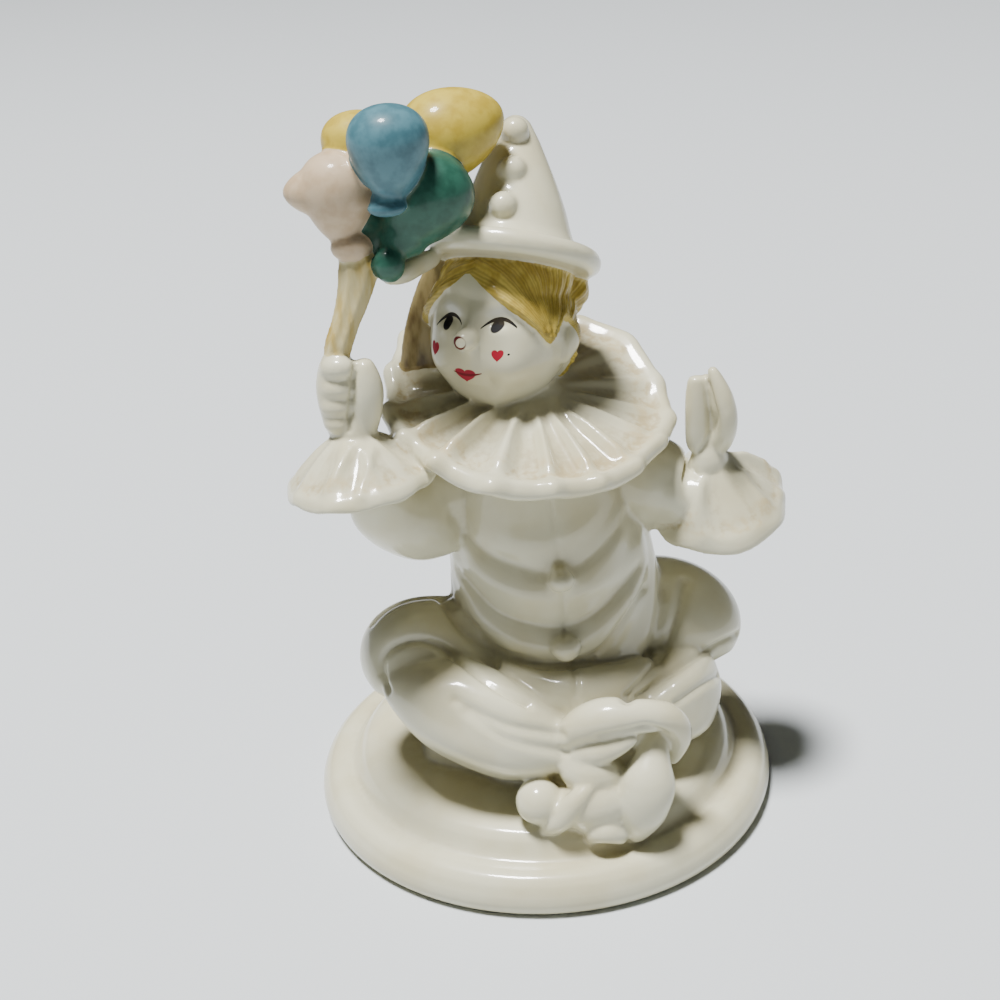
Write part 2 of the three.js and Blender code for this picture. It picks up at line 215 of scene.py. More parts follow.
def frill(name, centre, radius, drop, pleats, wave, curl, thick, turn, lift=None, strength=None, along=96):
    """A flared disc with soft radial pleats that fade before its thick, raised rim."""
    spin = turn_matrix(turn)
    frills[name] = (np.array(centre, float), spin, radius)

    def place(d):
        reach = np.hypot(d[:, 0], d[:, 1])
        angle = np.arctan2(d[:, 1], d[:, 0])
        phase = pleats * angle + 0.7 * np.sin(2 * angle + 1) + 0.5 * np.sin(5 * angle)
        crest = (np.cos(phase) + 0.28 * np.cos(2 * phase)) / 1.28
        height = wave * (1 if strength is None else strength(angle))
        height = height * (1 + 0.25 * np.sin(3 * angle + 2))
        sway = 0.022 * np.sin(3 * angle + 0.6) + 0.016 * np.sin(7 * angle + 2)
        out = radius * reach * (1 + (0.02 * height * crest + sway) * reach ** 5)
        rise = 0 if lift is None else lift(angle)
        slope = (rise - drop) * reach ** 1.3
        fold = height * crest * ramp(reach, 0.2, 0.55) * (1 - 0.8 * ramp(reach, 0.78, 0.93))
        lip = curl * ramp(reach, 0.84, 0.96) + 0.3 * height * crest * ramp(reach, 0.85, 1)
        bead = 0.45 + 0.55 * ramp(reach, 0.8, 0.95)
        rounding = np.sqrt(np.maximum(0, 1 - reach ** 22))
        side = np.where(d[:, 2] > 0, 1, -1)
        level = slope + fold + lip - 0.5 * thick * (bead + 2 * (1 - reach)) * (1 - side * rounding)
        p = np.stack([out * np.cos(angle), out * np.sin(angle), level], 1)
        return p @ spin.T + np.array(centre, float)

    return form(name, "glaze", 288, along, place)

# %% [markdown]
# The base is a low mound: a rounded outer rim, a cove, a rounded step and a nearly flat top. A profile of
# radius shares and heights is followed from the middle of the top to the middle of the underside.

# %% Base
BASE_RADIUS = 42
BASE_PROFILE = [
    (0, 12.4), (0.3, 12.3), (0.55, 12), (0.69, 11.9), (0.745, 11.7), (0.782, 11.1), (0.808, 10), (0.825, 8.6),
    (0.842, 7.5), (0.862, 7.1), (0.888, 7.3), (0.918, 7.5), (0.948, 7.1), (0.975, 6), (0.994, 4.3), (1, 2.7),
    (0.99, 1), (0.965, 0), (0.5, 0), (0, 0),
]


def follow(profile, t):
    """The two numbers of a profile at shares t of its length."""
    gone = np.concatenate([[0], np.cumsum(np.linalg.norm(np.diff(profile, axis=0), axis=1))])
    return [np.interp(t, gone / gone[-1], profile[:, i]) for i in range(2)]


def make_base():
    profile = np.array(BASE_PROFILE) * np.array([BASE_RADIUS, 1])

    def place(d):
        angle = np.arctan2(d[:, 1], d[:, 0])
        radius, height = follow(profile, np.arccos(np.clip(d[:, 2], -1, 1)) / math.pi)
        uneven = 1 + 0.006 * np.sin(2 * angle + 0.6) - 0.005 * np.cos(3 * angle)
        return np.stack([radius * uneven * np.cos(angle), radius * uneven * np.sin(angle), height], 1)

    return form("base", "glaze", 192, 256, place, 4)


make_base()
print("base", 2 * BASE_RADIUS, "mm across")

# %% [markdown]
# The blouse hangs from the neck to the seat. Wide U-shaped folds sag across the belly, and softer upright
# folds run down the back and sides. The trousers' seat spreads over the base under the crossed legs. The
# feet are placed by the pixels that show them, each at its own depth.

# %% Body, seat and legs
BLOUSE_FOLD = 0.45
BLOUSE_FOLD_SPACING = 10
BLOUSE_FOLD_SAG = 8
BACK_FOLD = 0.55
SEAT_CENTRE = (2, -0.5, 11)
SEAT_SIZE = (52, 40, 22)
SEAT_FOLD = 0.9
TROUSER_FOLD = 0.4
CLOTH = 16
FOOT = 7
BUTTON_RADIUS = 2.35


def blouse_fold(t, angle, centre):
    aside = np.arctan2(np.cos(angle), -np.sin(angle))
    phase = (centre[:, 2] - BLOUSE_FOLD_SAG * aside ** 2) / BLOUSE_FOLD_SPACING
    front = (1 - ramp(np.abs(aside), 0.8, 1.5)) * (1 - ramp(centre[:, 2], 56, 64))
    behind = ramp(np.abs(aside), 1.5, 2.2) * ramp(t, 0.05, 0.3) * (1 - ramp(t, 0.6, 0.9))
    return BLOUSE_FOLD * front * np.cos(2 * math.pi * phase) + BACK_FOLD * behind * np.cos(9 * aside)


def make_body():
    nodes = [
        (3, 3.5, 12, 22, 19.5), (4, 1.5, 27, 21.5, 20), (3, -1, 46, 18.6, 17),
        (1.2, -2, 60, 16, 14.8), (0.5, -3, 72, 14, 12), (-0.5, -2, 84, 7, 7),
    ]
    limb("blouse", "glaze", nodes, 160, 128, end=0.3, up=(0, 1, 0), relief=blouse_fold, soft=CLOTH)
    ball("button_upper", "glaze", seen(561, 578, -18)[:3], BUTTON_RADIUS, 2)
    ball("button_lower", "glaze", seen(566, 648, -18.5)[:3], BUTTON_RADIUS, 2)
    limb("lap", "glaze", [
        seen(500, 664, -14, 4), seen(538, 685, -18, 4.7), seen(578, 694, -19.6, 5), seen(620, 687, -18, 4.8),
        seen(660, 662, -13, 4),
    ], up=(0, 1, 0), soft=CLOTH)


def make_seat():
    def place(d):
        aside = np.arctan2(d[:, 0], d[:, 1])
        fold = SEAT_FOLD * np.cos(9 * aside + 2 * d[:, 2]) * ramp(np.hypot(d[:, 0], d[:, 1]), 0.3, 0.8)
        wide = d[:, 0] * (SEAT_SIZE[0] / 2 + fold)
        deep = d[:, 1] * (SEAT_SIZE[1] / 2 + fold)
        high = np.where(d[:, 2] > 0, SEAT_SIZE[2], 4) * d[:, 2]
        return np.stack([wide, deep, high], 1) + np.array(SEAT_CENTRE)

    form("seat", "glaze", 128, 64, place, CLOTH)


def trouser_fold(t, angle, centre):
    return TROUSER_FOLD * np.cos(5 * angle + 1.5 * t) * ramp(t, 0.15, 0.5)


def make_legs():
    limb("left_thigh", "glaze", [
        (3, -1, 27, 15, 12), (-12, -5, 30, 11, 10.5), (-23.6, -8.5, 33, 9.6, 10), (-26.5, -10.5, 26, 7.6, 9),
    ], up=(0, 1, 0.3), soft=CLOTH)
    limb("left_shin", "glaze", [
        (-27.6, -16.5, 33, 5.6, 6.6), (-17, -19.4, 29.5, 8, 9), (-5, -23.5, 25, 7.6, 9), (7, -25.5, 22, 6, 7),
    ], end=0.42, relief=trouser_fold, across=80, along=72, soft=CLOTH)
    limb("right_thigh", "glaze", [
        (6, 2, 28, 14, 13), (20, 2, 32, 11, 12), (29, 0.6, 30, 9, 10.5), (31.5, -1.5, 24, 8, 9),
    ], up=(0, 1, 0.3), soft=CLOTH)
    limb("right_shin", "glaze", [
        (30, -6, 25, 6.5, 8), (23, -13, 23.6, 7.4, 8.4), (15, -21, 22.6, 7, 7.6),
    ], relief=trouser_fold, across=80, along=72, soft=CLOTH)


def make_feet():
    limb("hem", "glaze", [
        seen(563, 752, -27, 2.6), seen(575, 730, -28, 3.4), seen(600, 719, -29, 3.6), seen(636, 716, -29.6, 2.9),
        seen(667, 718, -29, 2.7), seen(680, 733, -28, 2.5), seen(670, 764, -26, 2.2),
    ], up=(0, 1, 0), end=0.25, soft=FOOT)
    limb("trouser_end", "glaze", [
        seen(560, 742, -25, 4.4, 3.6), seen(600, 732, -27.2, 4.4, 3.2), seen(650, 728, -26.8, 4, 2.6),
    ], up=(0, 1, 0), end=0.25, soft=FOOT)
    limb("turned_edge", "glaze", [
        seen(558, 756, -27, 2.4), seen(590, 752, -29.6, 2.7), seen(616, 746, -31, 2), seen(638, 738, -31.6, 1.1),
    ], up=(0, 1, 0), end=0.25, soft=4)
    limb("shoe", "glaze", [
        seen(660, 726, -27, 2.4), seen(653, 756, -29.8, 3.3, 3), seen(648, 786, -32.4, 4.7, 3.8),
        seen(642, 812, -33, 4.6, 3.6), seen(634, 841, -32.6, 2.4, 2),
    ], up=(0, 1, 0), end=0.25, soft=5)
    limb("far_shoe", "glaze", [
        seen(545, 812, -30, 3.4), seen(578, 806, -31.2, 4), seen(606, 798, -31, 4.4), seen(640, 784, -29, 4),
    ], end=0.25, soft=6)
    limb("far_shoe_edge", "glaze", [
        seen(541, 830, -32, 1.7), seen(561, 820, -33.4, 2.1), seen(577, 800, -33.8, 1.9), seen(598, 779, -32.4, 1.2),
    ], up=(0, 1, 0), end=0.3, soft=3)
    limb("toe_cap", "glaze", [
        seen(576, 828, -33, 2), seen(600, 815, -33.4, 1.9), seen(628, 822, -32.6, 2.2),
    ], end=0.3, soft=4)
    limb("toe_lump", "glaze", [
        seen(586, 838, -33.6, 1.7), seen(606, 832, -34.6, 1.9), seen(626, 840, -34, 1.6),
    ], end=0.3, soft=4)
    limb("instep", "glaze", [
        seen(562, 764, -27.6, 3.6), seen(590, 771, -29.6, 3.9), seen(622, 774, -29.6, 3.6),
    ], up=(0, 1, 0), end=0.25, soft=FOOT)
    blob("ankle", "glaze", (10, -24.5, 18), (10.5, 5.6, 8), soft=FOOT)
    blob("heel", "glaze", (4.5, -27, 13.5), (9, 4.2, 4.6), soft=FOOT)
    ball("toe_pompom", "glaze", seen(539, 801, -30.4)[:3], 4)


make_body()
make_seat()
make_legs()
make_feet()
print("body and legs made,", len(forms), "forms")

# %% [markdown]
# Each sleeve ends in a pleated cuff with a hand standing in it. The left hand is a fist round the balloon
# strings, with four finger rolls and the block of the thumb. The right hand is a cupped mitten: an upright
# thumb, a flat palm and a taller lobe of fingers that curls at its outer side.

# %% Arms, hands and collar
COLLAR_CENTRE = (0.6, -4.5, 81.6)
COLLAR_RADIUS = 24.6
COLLAR_PLEATS = 17
LEFT_WRIST = np.array([-27.5, -16.5, 80.5])
RIGHT_WRIST = np.array([31, -4, 65.5])
FINGER_TOPS = (367, 387, 404.5, 421)


def sleeve_fold(count, twist):
    return lambda t, angle, centre: 0.5 * np.cos(count * angle + twist * t) * ramp(t, 0.1, 0.4)


def near(wrist, nodes):
    """Limb nodes given from the wrist."""
    return [tuple(np.array(n[:3]) + wrist) + tuple(n[3:]) for n in nodes]


def make_left_arm():
    limb("left_sleeve", "glaze", [
        (-10, -3, 68, 8, 9), (-18, -5.5, 60.8, 8, 9.3), (-23.6, -10.5, 64, 7, 7.6), (-26.6, -14.5, 73, 5, 6),
    ], relief=sleeve_fold(3, 3), soft=CLOTH)
    frill("left_cuff", LEFT_WRIST + (-1, 0, 1.2), 12.2, 9.5, 10, 0.62, 0.5, 2.2, (-5, -4, 0), along=72)
    limb("left_wrist", "glaze", near(LEFT_WRIST, [(-0.5, 0, -4, 3.6, 3.2), (-0.4, -0.3, 4, 3, 2.8)]), up=(0, 1, 0))
    limb("left_palm", "glaze", [
        seen(336, 352, -15.6, 3, 2.6), seen(338, 390, -15.8, 3.5, 3), seen(343, 438, -15.6, 3, 2.8),
    ], up=(0, 1, 0), end=0.2, soft=5)
    limb("left_thumb", "glaze", [
        seen(363, 358, -16.2, 1.9, 2.2), seen(367, 392, -16.6, 2.7, 2.6), seen(362, 440, -16, 2.8, 2.8),
    ], up=(0, 1, 0), end=0.2, soft=6)
    for i, top in enumerate(FINGER_TOPS):
        inset = 4 if i == len(FINGER_TOPS) - 1 else 0
        limb(f"finger_{i + 1}", "glaze", [
            seen(327 + inset, top, -14.4, 1.9), seen(332 + inset, top + 1, -17, 2),
            seen(343, top + 1, -17.6, 1.9), seen(353 - inset, top, -16.8, 1.6),
        ], across=32, along=32, end=0.25, soft=4)


def make_right_arm():
    limb("right_sleeve", "glaze", [
        (11, -2, 67, 8, 9), (20, -2.6, 61.5, 7.5, 8.5), (26.5, -3.6, 59, 6.6, 6.6), (31, -4.2, 62, 5.4, 5.2),
    ], relief=sleeve_fold(3, -2), soft=CLOTH)
    frill("right_cuff", RIGHT_WRIST + (0.3, 0, 1.4), 12.7, 11, 5, 1.3, 0.2, 2.4, (12, -10, 25), along=72)
    limb("right_wrist", "glaze", near(RIGHT_WRIST, [(-0.6, 0, -3.6, 3.4, 3.2), (-0.2, 0, 4, 2.9, 2.7)]), up=(0, 1, 0))
    limb("right_thumb", "glaze", [
        seen(698, 450, -4, 2.4), seen(697, 418, -4.6, 2.1, 1.8), seen(696.5, 375, -4.8, 2, 1.5),
    ], up=(0, 1, 0), end=0.16)
    limb("right_palm", "glaze", [
        seen(707, 448, -3.4, 3.2, 2.4), seen(708, 420, -3.4, 2.9, 1.8), seen(706, 373, -4, 1.6, 1.2),
    ], up=(0, 1, 0), end=0.25)
    limb("right_fingers", "glaze", [
        seen(716, 450, -4, 3, 2.8), seen(725.5, 424, -5.6, 2.1, 2.9), seen(722, 398, -6, 2, 2.6),
        seen(711, 366, -5.6, 1.3, 1.7),
    ], up=(0, 1, 0), end=0.25)


def make_collar():
    frill("collar", COLLAR_CENTRE, COLLAR_RADIUS, 4.8, COLLAR_PLEATS, 1.45, 1.5, 3.6, (10, 8, 0),
          lift=lambda angle: 5.5 * ramp(np.sin(angle), -0.1, 0.8),
          strength=lambda angle: 1 - 0.6 * ramp(np.cos(angle) + 0.5 * np.sin(angle), 0.2, 0.8), along=128)


make_left_arm()
make_right_arm()
make_collar()
print("arms and collar made,", len(forms), "forms")

# %% [markdown]
# The head is one ball with soft swellings for the cheeks, the brow, the nose, the mouth and the chin. Above
# the hairline it stands out by the thickness of the hair. Places on it are given to the face's own right,
# forward and up, or in degrees from straight ahead and from level.

# %% Head and hair
HEAD_CENTRE = np.array([-3.4, -2.5, 90.7])
HEAD_RADIUS = 11.6
HEAD_TURN = math.radians(34)
FACE_MIDDLE = 5.5
HAIR_THICK = 1.3
NOSE = (1.4, 2.9)
FACE_RIGHT = np.array([math.cos(HEAD_TURN), -math.sin(HEAD_TURN), 0])
FACE_FORWARD = np.array([-math.sin(HEAD_TURN), -math.cos(HEAD_TURN), 0])
FACE_UP = np.array([0.0, 0.0, 1.0])
HAIRLINE = [
    (-180, -52), (-125, -50), (-104, -24), (-90, 12), (-82, 8), (-75, 0), (-68, 5), (-60, 14), (-51, 27),
    (-39, 43), (-22, 52), (-13, 60), (-6, 60), (6, 56), (26, 46), (40, 36), (51, 27), (62, 16), (69, 5),
    (74, 2), (80, 8), (90, 16), (98, 12), (106, -16), (122, -44), (180, -52),
]


def on_head(right, forward, up):
    return HEAD_CENTRE + right * FACE_RIGHT + forward * FACE_FORWARD + up * FACE_UP


def head_angles(d):
    """Degrees aside from straight ahead and degrees above level, of directions in the head's frame."""
    aside = np.degrees(np.arctan2(d[:, 0], -d[:, 1]))
    above = np.degrees(np.arcsin(np.clip(d[:, 2], -1, 1)))
    return aside, above


def swelling(d, right, up, width, height, depth):
    aside, above = head_angles(d)
    return depth * np.exp(-(((aside - FACE_MIDDLE - right) / width) ** 2) - ((above - up) / height) ** 2)


def face_relief(d):
    total = np.zeros(len(d))
    for side in (-1, 1):
        total += swelling(d, side * 33, -11, 17, 15, 1.1)
        total += swelling(d, side * 23, 26, 14, 7, -1.0)
        total += swelling(d, side * 23, 18, 9, 5.5, 0.35)
        total += swelling(d, side * 12, 15, 5, 9, -0.5)
        total += swelling(d, side * 17, -22, 4.5, 7, -0.4)
        total += swelling(d, side * 24, 41, 16, 7, 0.3)
    total += swelling(d, 0, 17, 5.5, 14, 1.0)
    total += swelling(d, 0, -21, 13, 9, 0.5)
    total += swelling(d, 0, -21.5, 11, 1.8, -0.35)
    total += swelling(d, 0, -31, 12, 4, -0.4)
    total += swelling(d, 8, -47, 30, 16, 1.2)
    total += swelling(d, -26, -38, 20, 18, 0.7)
    return total


def hairline(aside):
    """How high the hair begins, in degrees, by degrees from straight ahead."""
    points = np.array(HAIRLINE)
    return np.interp(aside, points[:, 0], points[:, 1])


def head_relief(d):
    aside, above = head_angles(d)
    over = above - hairline(aside)
    hair = ramp(over, -3, 4) * (1 + 0.25 * np.exp(-((over - 5) / 5) ** 2))
    return hair * HAIR_THICK + (1 - ramp(over, -3, 4)) * face_relief(d)


def make_head():
    turn = (0, 0, -math.degrees(HEAD_TURN))
    radii = (HEAD_RADIUS, HEAD_RADIUS, HEAD_RADIUS + 0.3)
    blob("skull", "skin", HEAD_CENTRE, radii, turn, across=320, along=240, relief=head_relief)
    blob("nose", "skin", on_head(NOSE[0], HEAD_RADIUS + 0.7, NOSE[1]), (1.8, 2.5, 1.75), turn, soft=2)
    limb("ear", "skin", [
        (*on_head(HEAD_RADIUS + 0.3, -3.4, 2.6), 0.9, 1.6), (*on_head(HEAD_RADIUS + 0.6, -2.6, -0.6), 0.9, 2),
        (*on_head(HEAD_RADIUS - 0.2, -0.6, -4.4), 0.8, 1.4),
    ], up=FACE_FORWARD, soft=2)
    limb("far_ear", "skin", [
        (*on_head(-HEAD_RADIUS - 0.3, -3.4, 2.6), 0.9, 1.6), (*on_head(-HEAD_RADIUS - 0.6, -2.6, -0.6), 0.9, 2),
        (*on_head(-HEAD_RADIUS + 0.2, -0.6, -4.4), 0.8, 1.4),
    ], up=FACE_FORWARD, soft=2)
    blob("crown", "hair", (-2, -0.6, 98.6), (10.9, 11, 7), soft=4)
    limb("side_hair", "hair", [
        seen(556, 274, 2.5, 5.2), seen(561, 294, 2, 4.7), seen(557, 318, 1.5, 3.7),
    ], up=(0, 1, 0), end=0.3, soft=5)


make_head()
print("head made,", len(forms), "forms")

# %% [markdown]
# The hat is a tall cone on a thick rolled brim, pushed back on the head, with pompoms down its front. The
# balloons lean on its tip, and webs of clay tie them to the brim, and the hat to the collar behind.

# %% Hat, balloons and webs
HAT_RADIUS = 9.8
HAT_HEIGHT = 22.4
HAT_LEAN = math.radians(27)
HAT_SIDE = math.radians(5)
BRIM_CENTRE = np.array([-0.6, 0, 103])
BRIM_RADIUS = 14.4
BRIM_TILT = 0.11
POMPOM_RADIUS = 2.35
HAT_POMPOMS = [(18.9, 0.38, 3), (12.1, 0.6, 4), (5.9, 0.88, 12)]
HAT_TURN = np.array(Matrix.Rotation(-HAT_LEAN, 3, "X") @ Matrix.Rotation(HAT_SIDE, 3, "Y"))


def on_hat(p):
    return np.asarray(p, float) @ HAT_TURN.T + BRIM_CENTRE


def make_hat():
    profile = np.array([
        (0, HAT_HEIGHT), (HAT_RADIUS * 0.12, 22.2), (HAT_RADIUS * 0.24, 21.2), (HAT_RADIUS * 0.41, 18),
        (HAT_RADIUS * 0.65, 12.4), (HAT_RADIUS * 0.86, 7), (HAT_RADIUS * 0.98, 3.2), (HAT_RADIUS + 0.9, 1.5),
        (BRIM_RADIUS - 3.2, 1.2), (BRIM_RADIUS - 1.9, 1.6), (BRIM_RADIUS - 0.6, 1.3), (BRIM_RADIUS, 0),
        (BRIM_RADIUS - 0.3, -1.4), (BRIM_RADIUS - 1.4, -2.2), (BRIM_RADIUS - 2.8, -2.2), (0, -2.2),
    ])

    def place(d):
        angle = np.arctan2(d[:, 1], d[:, 0])
        radius, height = follow(profile, np.arccos(np.clip(d[:, 2], -1, 1)) / math.pi)
        x, y = radius * np.cos(angle), radius * np.sin(angle)
        height = height - BRIM_TILT * x * (1 - ramp(height, 2, 10))
        return on_hat(np.stack([x, y, height], 1))

    form("hat", "glaze", 128, 160, place, 4)
    for i, (height, share, aside) in enumerate(HAT_POMPOMS):
        around = math.radians(-90 - aside)
        reach = HAT_RADIUS * share
        centre = on_hat((math.cos(around) * reach, math.sin(around) * reach, height))
        ball(f"hat_pompom_{i + 1}", "glaze", centre, POMPOM_RADIUS, 4)


def make_balloons():
    down = (0, -0.15, -1)
    balloon("beige_balloon", "beige", (-27, -11, 117), 5.6, 7.2, down)
    balloon("beige_lobe", "beige", (-31.2, -11, 118.2), 3.7, 4.2, (-1, 0, 0))
    balloon("small_yellow_balloon", "yellow", (-23.6, -6.4, 123), 5.4, 6, down)
    balloon("blue_balloon", "blue", (-18.5, -14.5, 124.2), 6, 7.2, down)
    balloon("green_balloon", "green", seen(423, 204, -10), 6.4, 8.4, (-0.75, -0.2, -0.75))
    balloon("yellow_balloon", "yellow", seen(452, 131, -1), 6.9, 8.9, (0.9, 0.4, 0.22), narrow=0.2)
    blob("bunch", "green", (-17.5, -6.6, 118), (7.5, 6, 5.5), soft=5)
    limb("green_throat", "green", [
        seen(420, 218, -9.5, 5), seen(400, 238, -11.5, 4), seen(388, 258, -13.6, 2.6),
    ], up=(0, 1, 0), soft=7)
    blob("bunch_low", "green", seen(372, 236, -10.6), (3, 2.6, 4.4), soft=7)
    blob("blue_neck", "blue", seen(387, 201, -16), (2.6, 2, 2.2), soft=4)
    blob("blue_lip", "blue", seen(387, 208, -16.8), (3, 2.1, 1.3), soft=2)
    blob("beige_knot", "beige", seen(351, 247, -13), (3.2, 2.5, 2.3), soft=2)
    blob("green_knot", "green", seen(389, 265, -14.4), (2.5, 2.3, 2.8), soft=2)


def string_fold(t, angle, centre):
    return 0.22 * np.cos(7 * angle + 2 * t) * ramp(t, 0.05, 0.2)


def make_webs():
    limb("strings", "strings", [
        seen(338, 374, -15.6, 2.2), seen(338, 350, -15.4, 2.3), seen(345, 325, -14.8, 2.1, 2),
        seen(353, 298, -13.8, 2.5, 2.2), seen(358, 268, -12.6, 3.3, 2.8), seen(354, 232, -11, 3.4, 3),
    ], across=96, up=(0, 1, 0), end=0.2, relief=string_fold)
    limb("bridge", "glaze", [
        seen(383, 281, -13, 1.5), seen(402, 274, -10, 1.7), seen(418, 264, -6, 1.9), seen(440, 256, -3, 2.2),
    ], soft=5)
    # The stay is painted brown all over: a stain with painted shade, as it stands in the brim's shadow.
    limb("stay", "stain_and_shade", [
        (-18, 1, 79, 4.6, 1.8), (-14.5, 2, 90, 5, 1.7), (-11, 3, 102, 4.6, 1.8),
    ], up=(0, 1, 0), end=0.2, soft=6)


make_hat()
make_balloons()
make_webs()
print("hat and balloons made,", len(forms), "forms")

# %% [markdown]
# The forms are copied, joined and remeshed into one skin. Then the skin is smoothed, more on the cloth and
# less on the face and the hands, which rounds the joins as clay and glaze do. The separate forms stay for a
# while, because smoothing and paint are told apart by which form lies nearest.

# %% One casting
VOXEL = 0.36
TRIANGLES = 190000
SKIN_BAND = 1.2


def apply_modifier(piece, kind, **settings):
    bpy.context.view_layer.objects.active = piece
    modifier = piece.modifiers.new(kind.lower(), kind)
    for key, value in settings.items():
        setattr(modifier, key, value)
    bpy.ops.object.modifier_apply(modifier=modifier.name)


def vertices_of(piece):
    places = np.empty(len(piece.data.vertices) * 3, np.float32)
    piece.data.vertices.foreach_get("co", places)
    return places.reshape(-1, 3).astype(float) / MM


def normals_of(piece):
    normals = np.empty(len(piece.data.vertices) * 3, np.float32)
    piece.data.vertex_normals.foreach_get("vector", normals)
    return normals.reshape(-1, 3).astype(float)


def move_vertices(piece, places):
    piece.data.vertices.foreach_set("co", (places * MM).astype(np.float32).ravel())
    piece.data.update()


def joined_tree(pieces):
    corners = []
    faces = []
    owners = []
    for i, piece in enumerate(pieces):
        start = len(corners)
        corners.extend(Vector(v.co) for v in piece.data.vertices)
        faces.extend([start + j for j in face.vertices] for face in piece.data.polygons)
        owners.extend([i] * len(piece.data.polygons))
    return BVHTree.FromPolygons(corners, faces), np.array(owners)


def make_casting():
    bpy.ops.object.select_all(action="DESELECT")
    for piece, _, _ in forms:
        piece.select_set(True)
    bpy.context.view_layer.objects.active = forms[0][0]
    bpy.ops.object.duplicate()
    bpy.context.view_layer.objects.active = bpy.context.selected_objects[0]
    bpy.ops.object.join()
    casting = bpy.context.object
    casting.name = "clown_casting"
    apply_modifier(casting, "REMESH", mode="VOXEL", voxel_size=VOXEL * MM)
    return casting


def neighbour_mean(piece):
    """A function that moves every value to the mean of its vertex's neighbours."""
    edges = np.empty(len(piece.data.edges) * 2, np.int32)
    piece.data.edges.foreach_get("vertices", edges)
    a, b = edges.reshape(-1, 2).T
    size = len(piece.data.vertices)
    count = np.maximum(np.bincount(a, minlength=size) + np.bincount(b, minlength=size), 1)

    def mean(values):
        sums = [np.bincount(a, v[b], size) + np.bincount(b, v[a], size) for v in values.T]
        return np.stack(sums, 1) / count[:, None]

    return mean


def melt(piece):
    """Smooths each place by the steps of the form that it came from."""
    tree, owners = joined_tree([shape for shape, _, _ in forms])
    steps = np.array([soft for _, _, soft in forms], float)
    places = vertices_of(piece)
    nearest = np.array([tree.find_nearest(Vector(p * MM))[2] for p in places])
    wanted = steps[owners[nearest]]
    mean = neighbour_mean(piece)
    for _ in range(4):
        wanted = mean(wanted[:, None])[:, 0]
    for step in range(int(steps.max())):
        share = 0.5 * np.clip(wanted - step, 0, 1)[:, None]
        places = places + share * (mean(places) - places)
    move_vertices(piece, places)


casting = make_casting()
melt(casting)
print("casting", len(casting.data.vertices), "vertices")

# %% [markdown]
# Folds, creases and seams are worked into the skin along strokes drawn over the photograph. Each stroke is a
# few pixels, carried on to the casting by rays. A positive height raises a rounded ridge, a negative one
# presses a crease. Strokes on the sides and the back are given by their bearing and height instead.

# %% Strokes
STROKES = {
    "seam above the buttons": ([(550, 500), (556, 540), (560, 572)], 0.5, -0.28),
    "seam between the buttons": ([(563, 592), (565, 640)], 0.45, -0.26),
    "seam below the buttons": ([(572, 664), (576, 680), (576, 695)], 0.6, -0.4),
    "first sag": ([(453, 515), (482, 551), (523, 568), (547, 574), (576, 568), (606, 545), (629, 515)], 1.3, -0.5),
    "swell under the first sag": ([(448, 545), (480, 575), (520, 592), (545, 594)], 1.9, 0.4),
    "swell right of the seam": ([(578, 594), (606, 580), (636, 545)], 1.9, 0.4),
    "second sag": ([(458, 572), (494, 610), (529, 624), (564, 627), (600, 610), (640, 566)], 1.2, -0.55),
    "hem of the blouse": ([(440, 597), (470, 635), (520, 660), (560, 666), (600, 651), (645, 588)], 1.0, -0.75),
    "swell above the hem": ([(465, 606), (500, 636), (545, 648), (590, 638), (630, 596)], 1.7, 0.4),
    "torso and right leg": ([(686, 582), (676, 620), (655, 665), (627, 700)], 1.1, -0.9),
    "left hood, inner edge": ([(387, 690), (381, 668), (384, 655), (396, 645), (416, 640), (438, 645), (464, 664),
                               (498, 688), (528, 704)], 0.85, -1.1),
    "left hood, rim": ([(379, 690), (372, 660), (381, 638), (400, 627), (428, 628), (454, 640), (485, 662),
                        (524, 686), (552, 698)], 2.2, 0.35),
    "lap fold": ([(448, 604), (478, 650), (520, 682), (568, 700)], 1.2, -0.4),
    "first fold of the left shin": ([(455, 700), (505, 725), (562, 735)], 0.9, -0.5),
    "swell of the left shin": ([(430, 690), (480, 728), (530, 750), (566, 758)], 1.8, 0.3),
    "second fold of the left shin": ([(467, 712), (500, 736), (526, 745), (567, 752)], 0.9, -0.45),
    "right leg, outer fold": ([(738, 634), (716, 645), (690, 661), (666, 677), (639, 697)], 0.75, -0.7),
    "right leg, outer swell": ([(732, 648), (706, 663), (676, 686)], 1.3, 0.35),
    "right leg, inner fold": ([(736, 666), (711, 680), (676, 704)], 0.75, -0.55),
    "edge under the hood of the foot": ([(600, 737), (628, 731), (646, 727), (664, 733)], 0.8, -0.6),
    "fist and thumb": ([(355, 366), (352, 395), (349, 430)], 0.5, -0.5),
    "palm and fingers": ([(709, 384), (713, 402), (716, 418), (708, 438), (700, 450)], 0.6, -0.4),
    "left cuff ridge": ([(352, 448), (338, 470), (326, 492)], 0.9, 0.45),
    "left cuff second ridge": ([(372, 450), (366, 475), (360, 496)], 0.9, 0.45),
    "right cuff ridge": ([(690, 470), (699, 500), (706, 532)], 1.6, 0.6),
    "right cuff upper ridge": ([(738, 472), (762, 482), (782, 494)], 1.3, 0.5),
    "right cuff hollow": ([(668, 480), (660, 510), (655, 530)], 1.8, -0.5),
}
SIDE_STROKES = {
    "back seam": ([(90, 70), (90, 48), (90, 30)], 0.7, -0.4),
    "back sag": ([(30, 50), (60, 40), (90, 37), (120, 41), (150, 52)], 1.3, -0.5),
    "lower back sag": ([(25, 36), (58, 28), (90, 26), (122, 29), (155, 38)], 1.3, -0.55),
    "right side fold": ([(8, 60), (0, 48), (-12, 40)], 1.1, -0.45),
    "left side fold": ([(172, 60), (180, 48), (192, 40)], 1.1, -0.45),
}
BODY_AXIS = (2.5, -1)


def tree_of(piece):
    return BVHTree.FromObject(piece, bpy.context.evaluated_depsgraph_get())


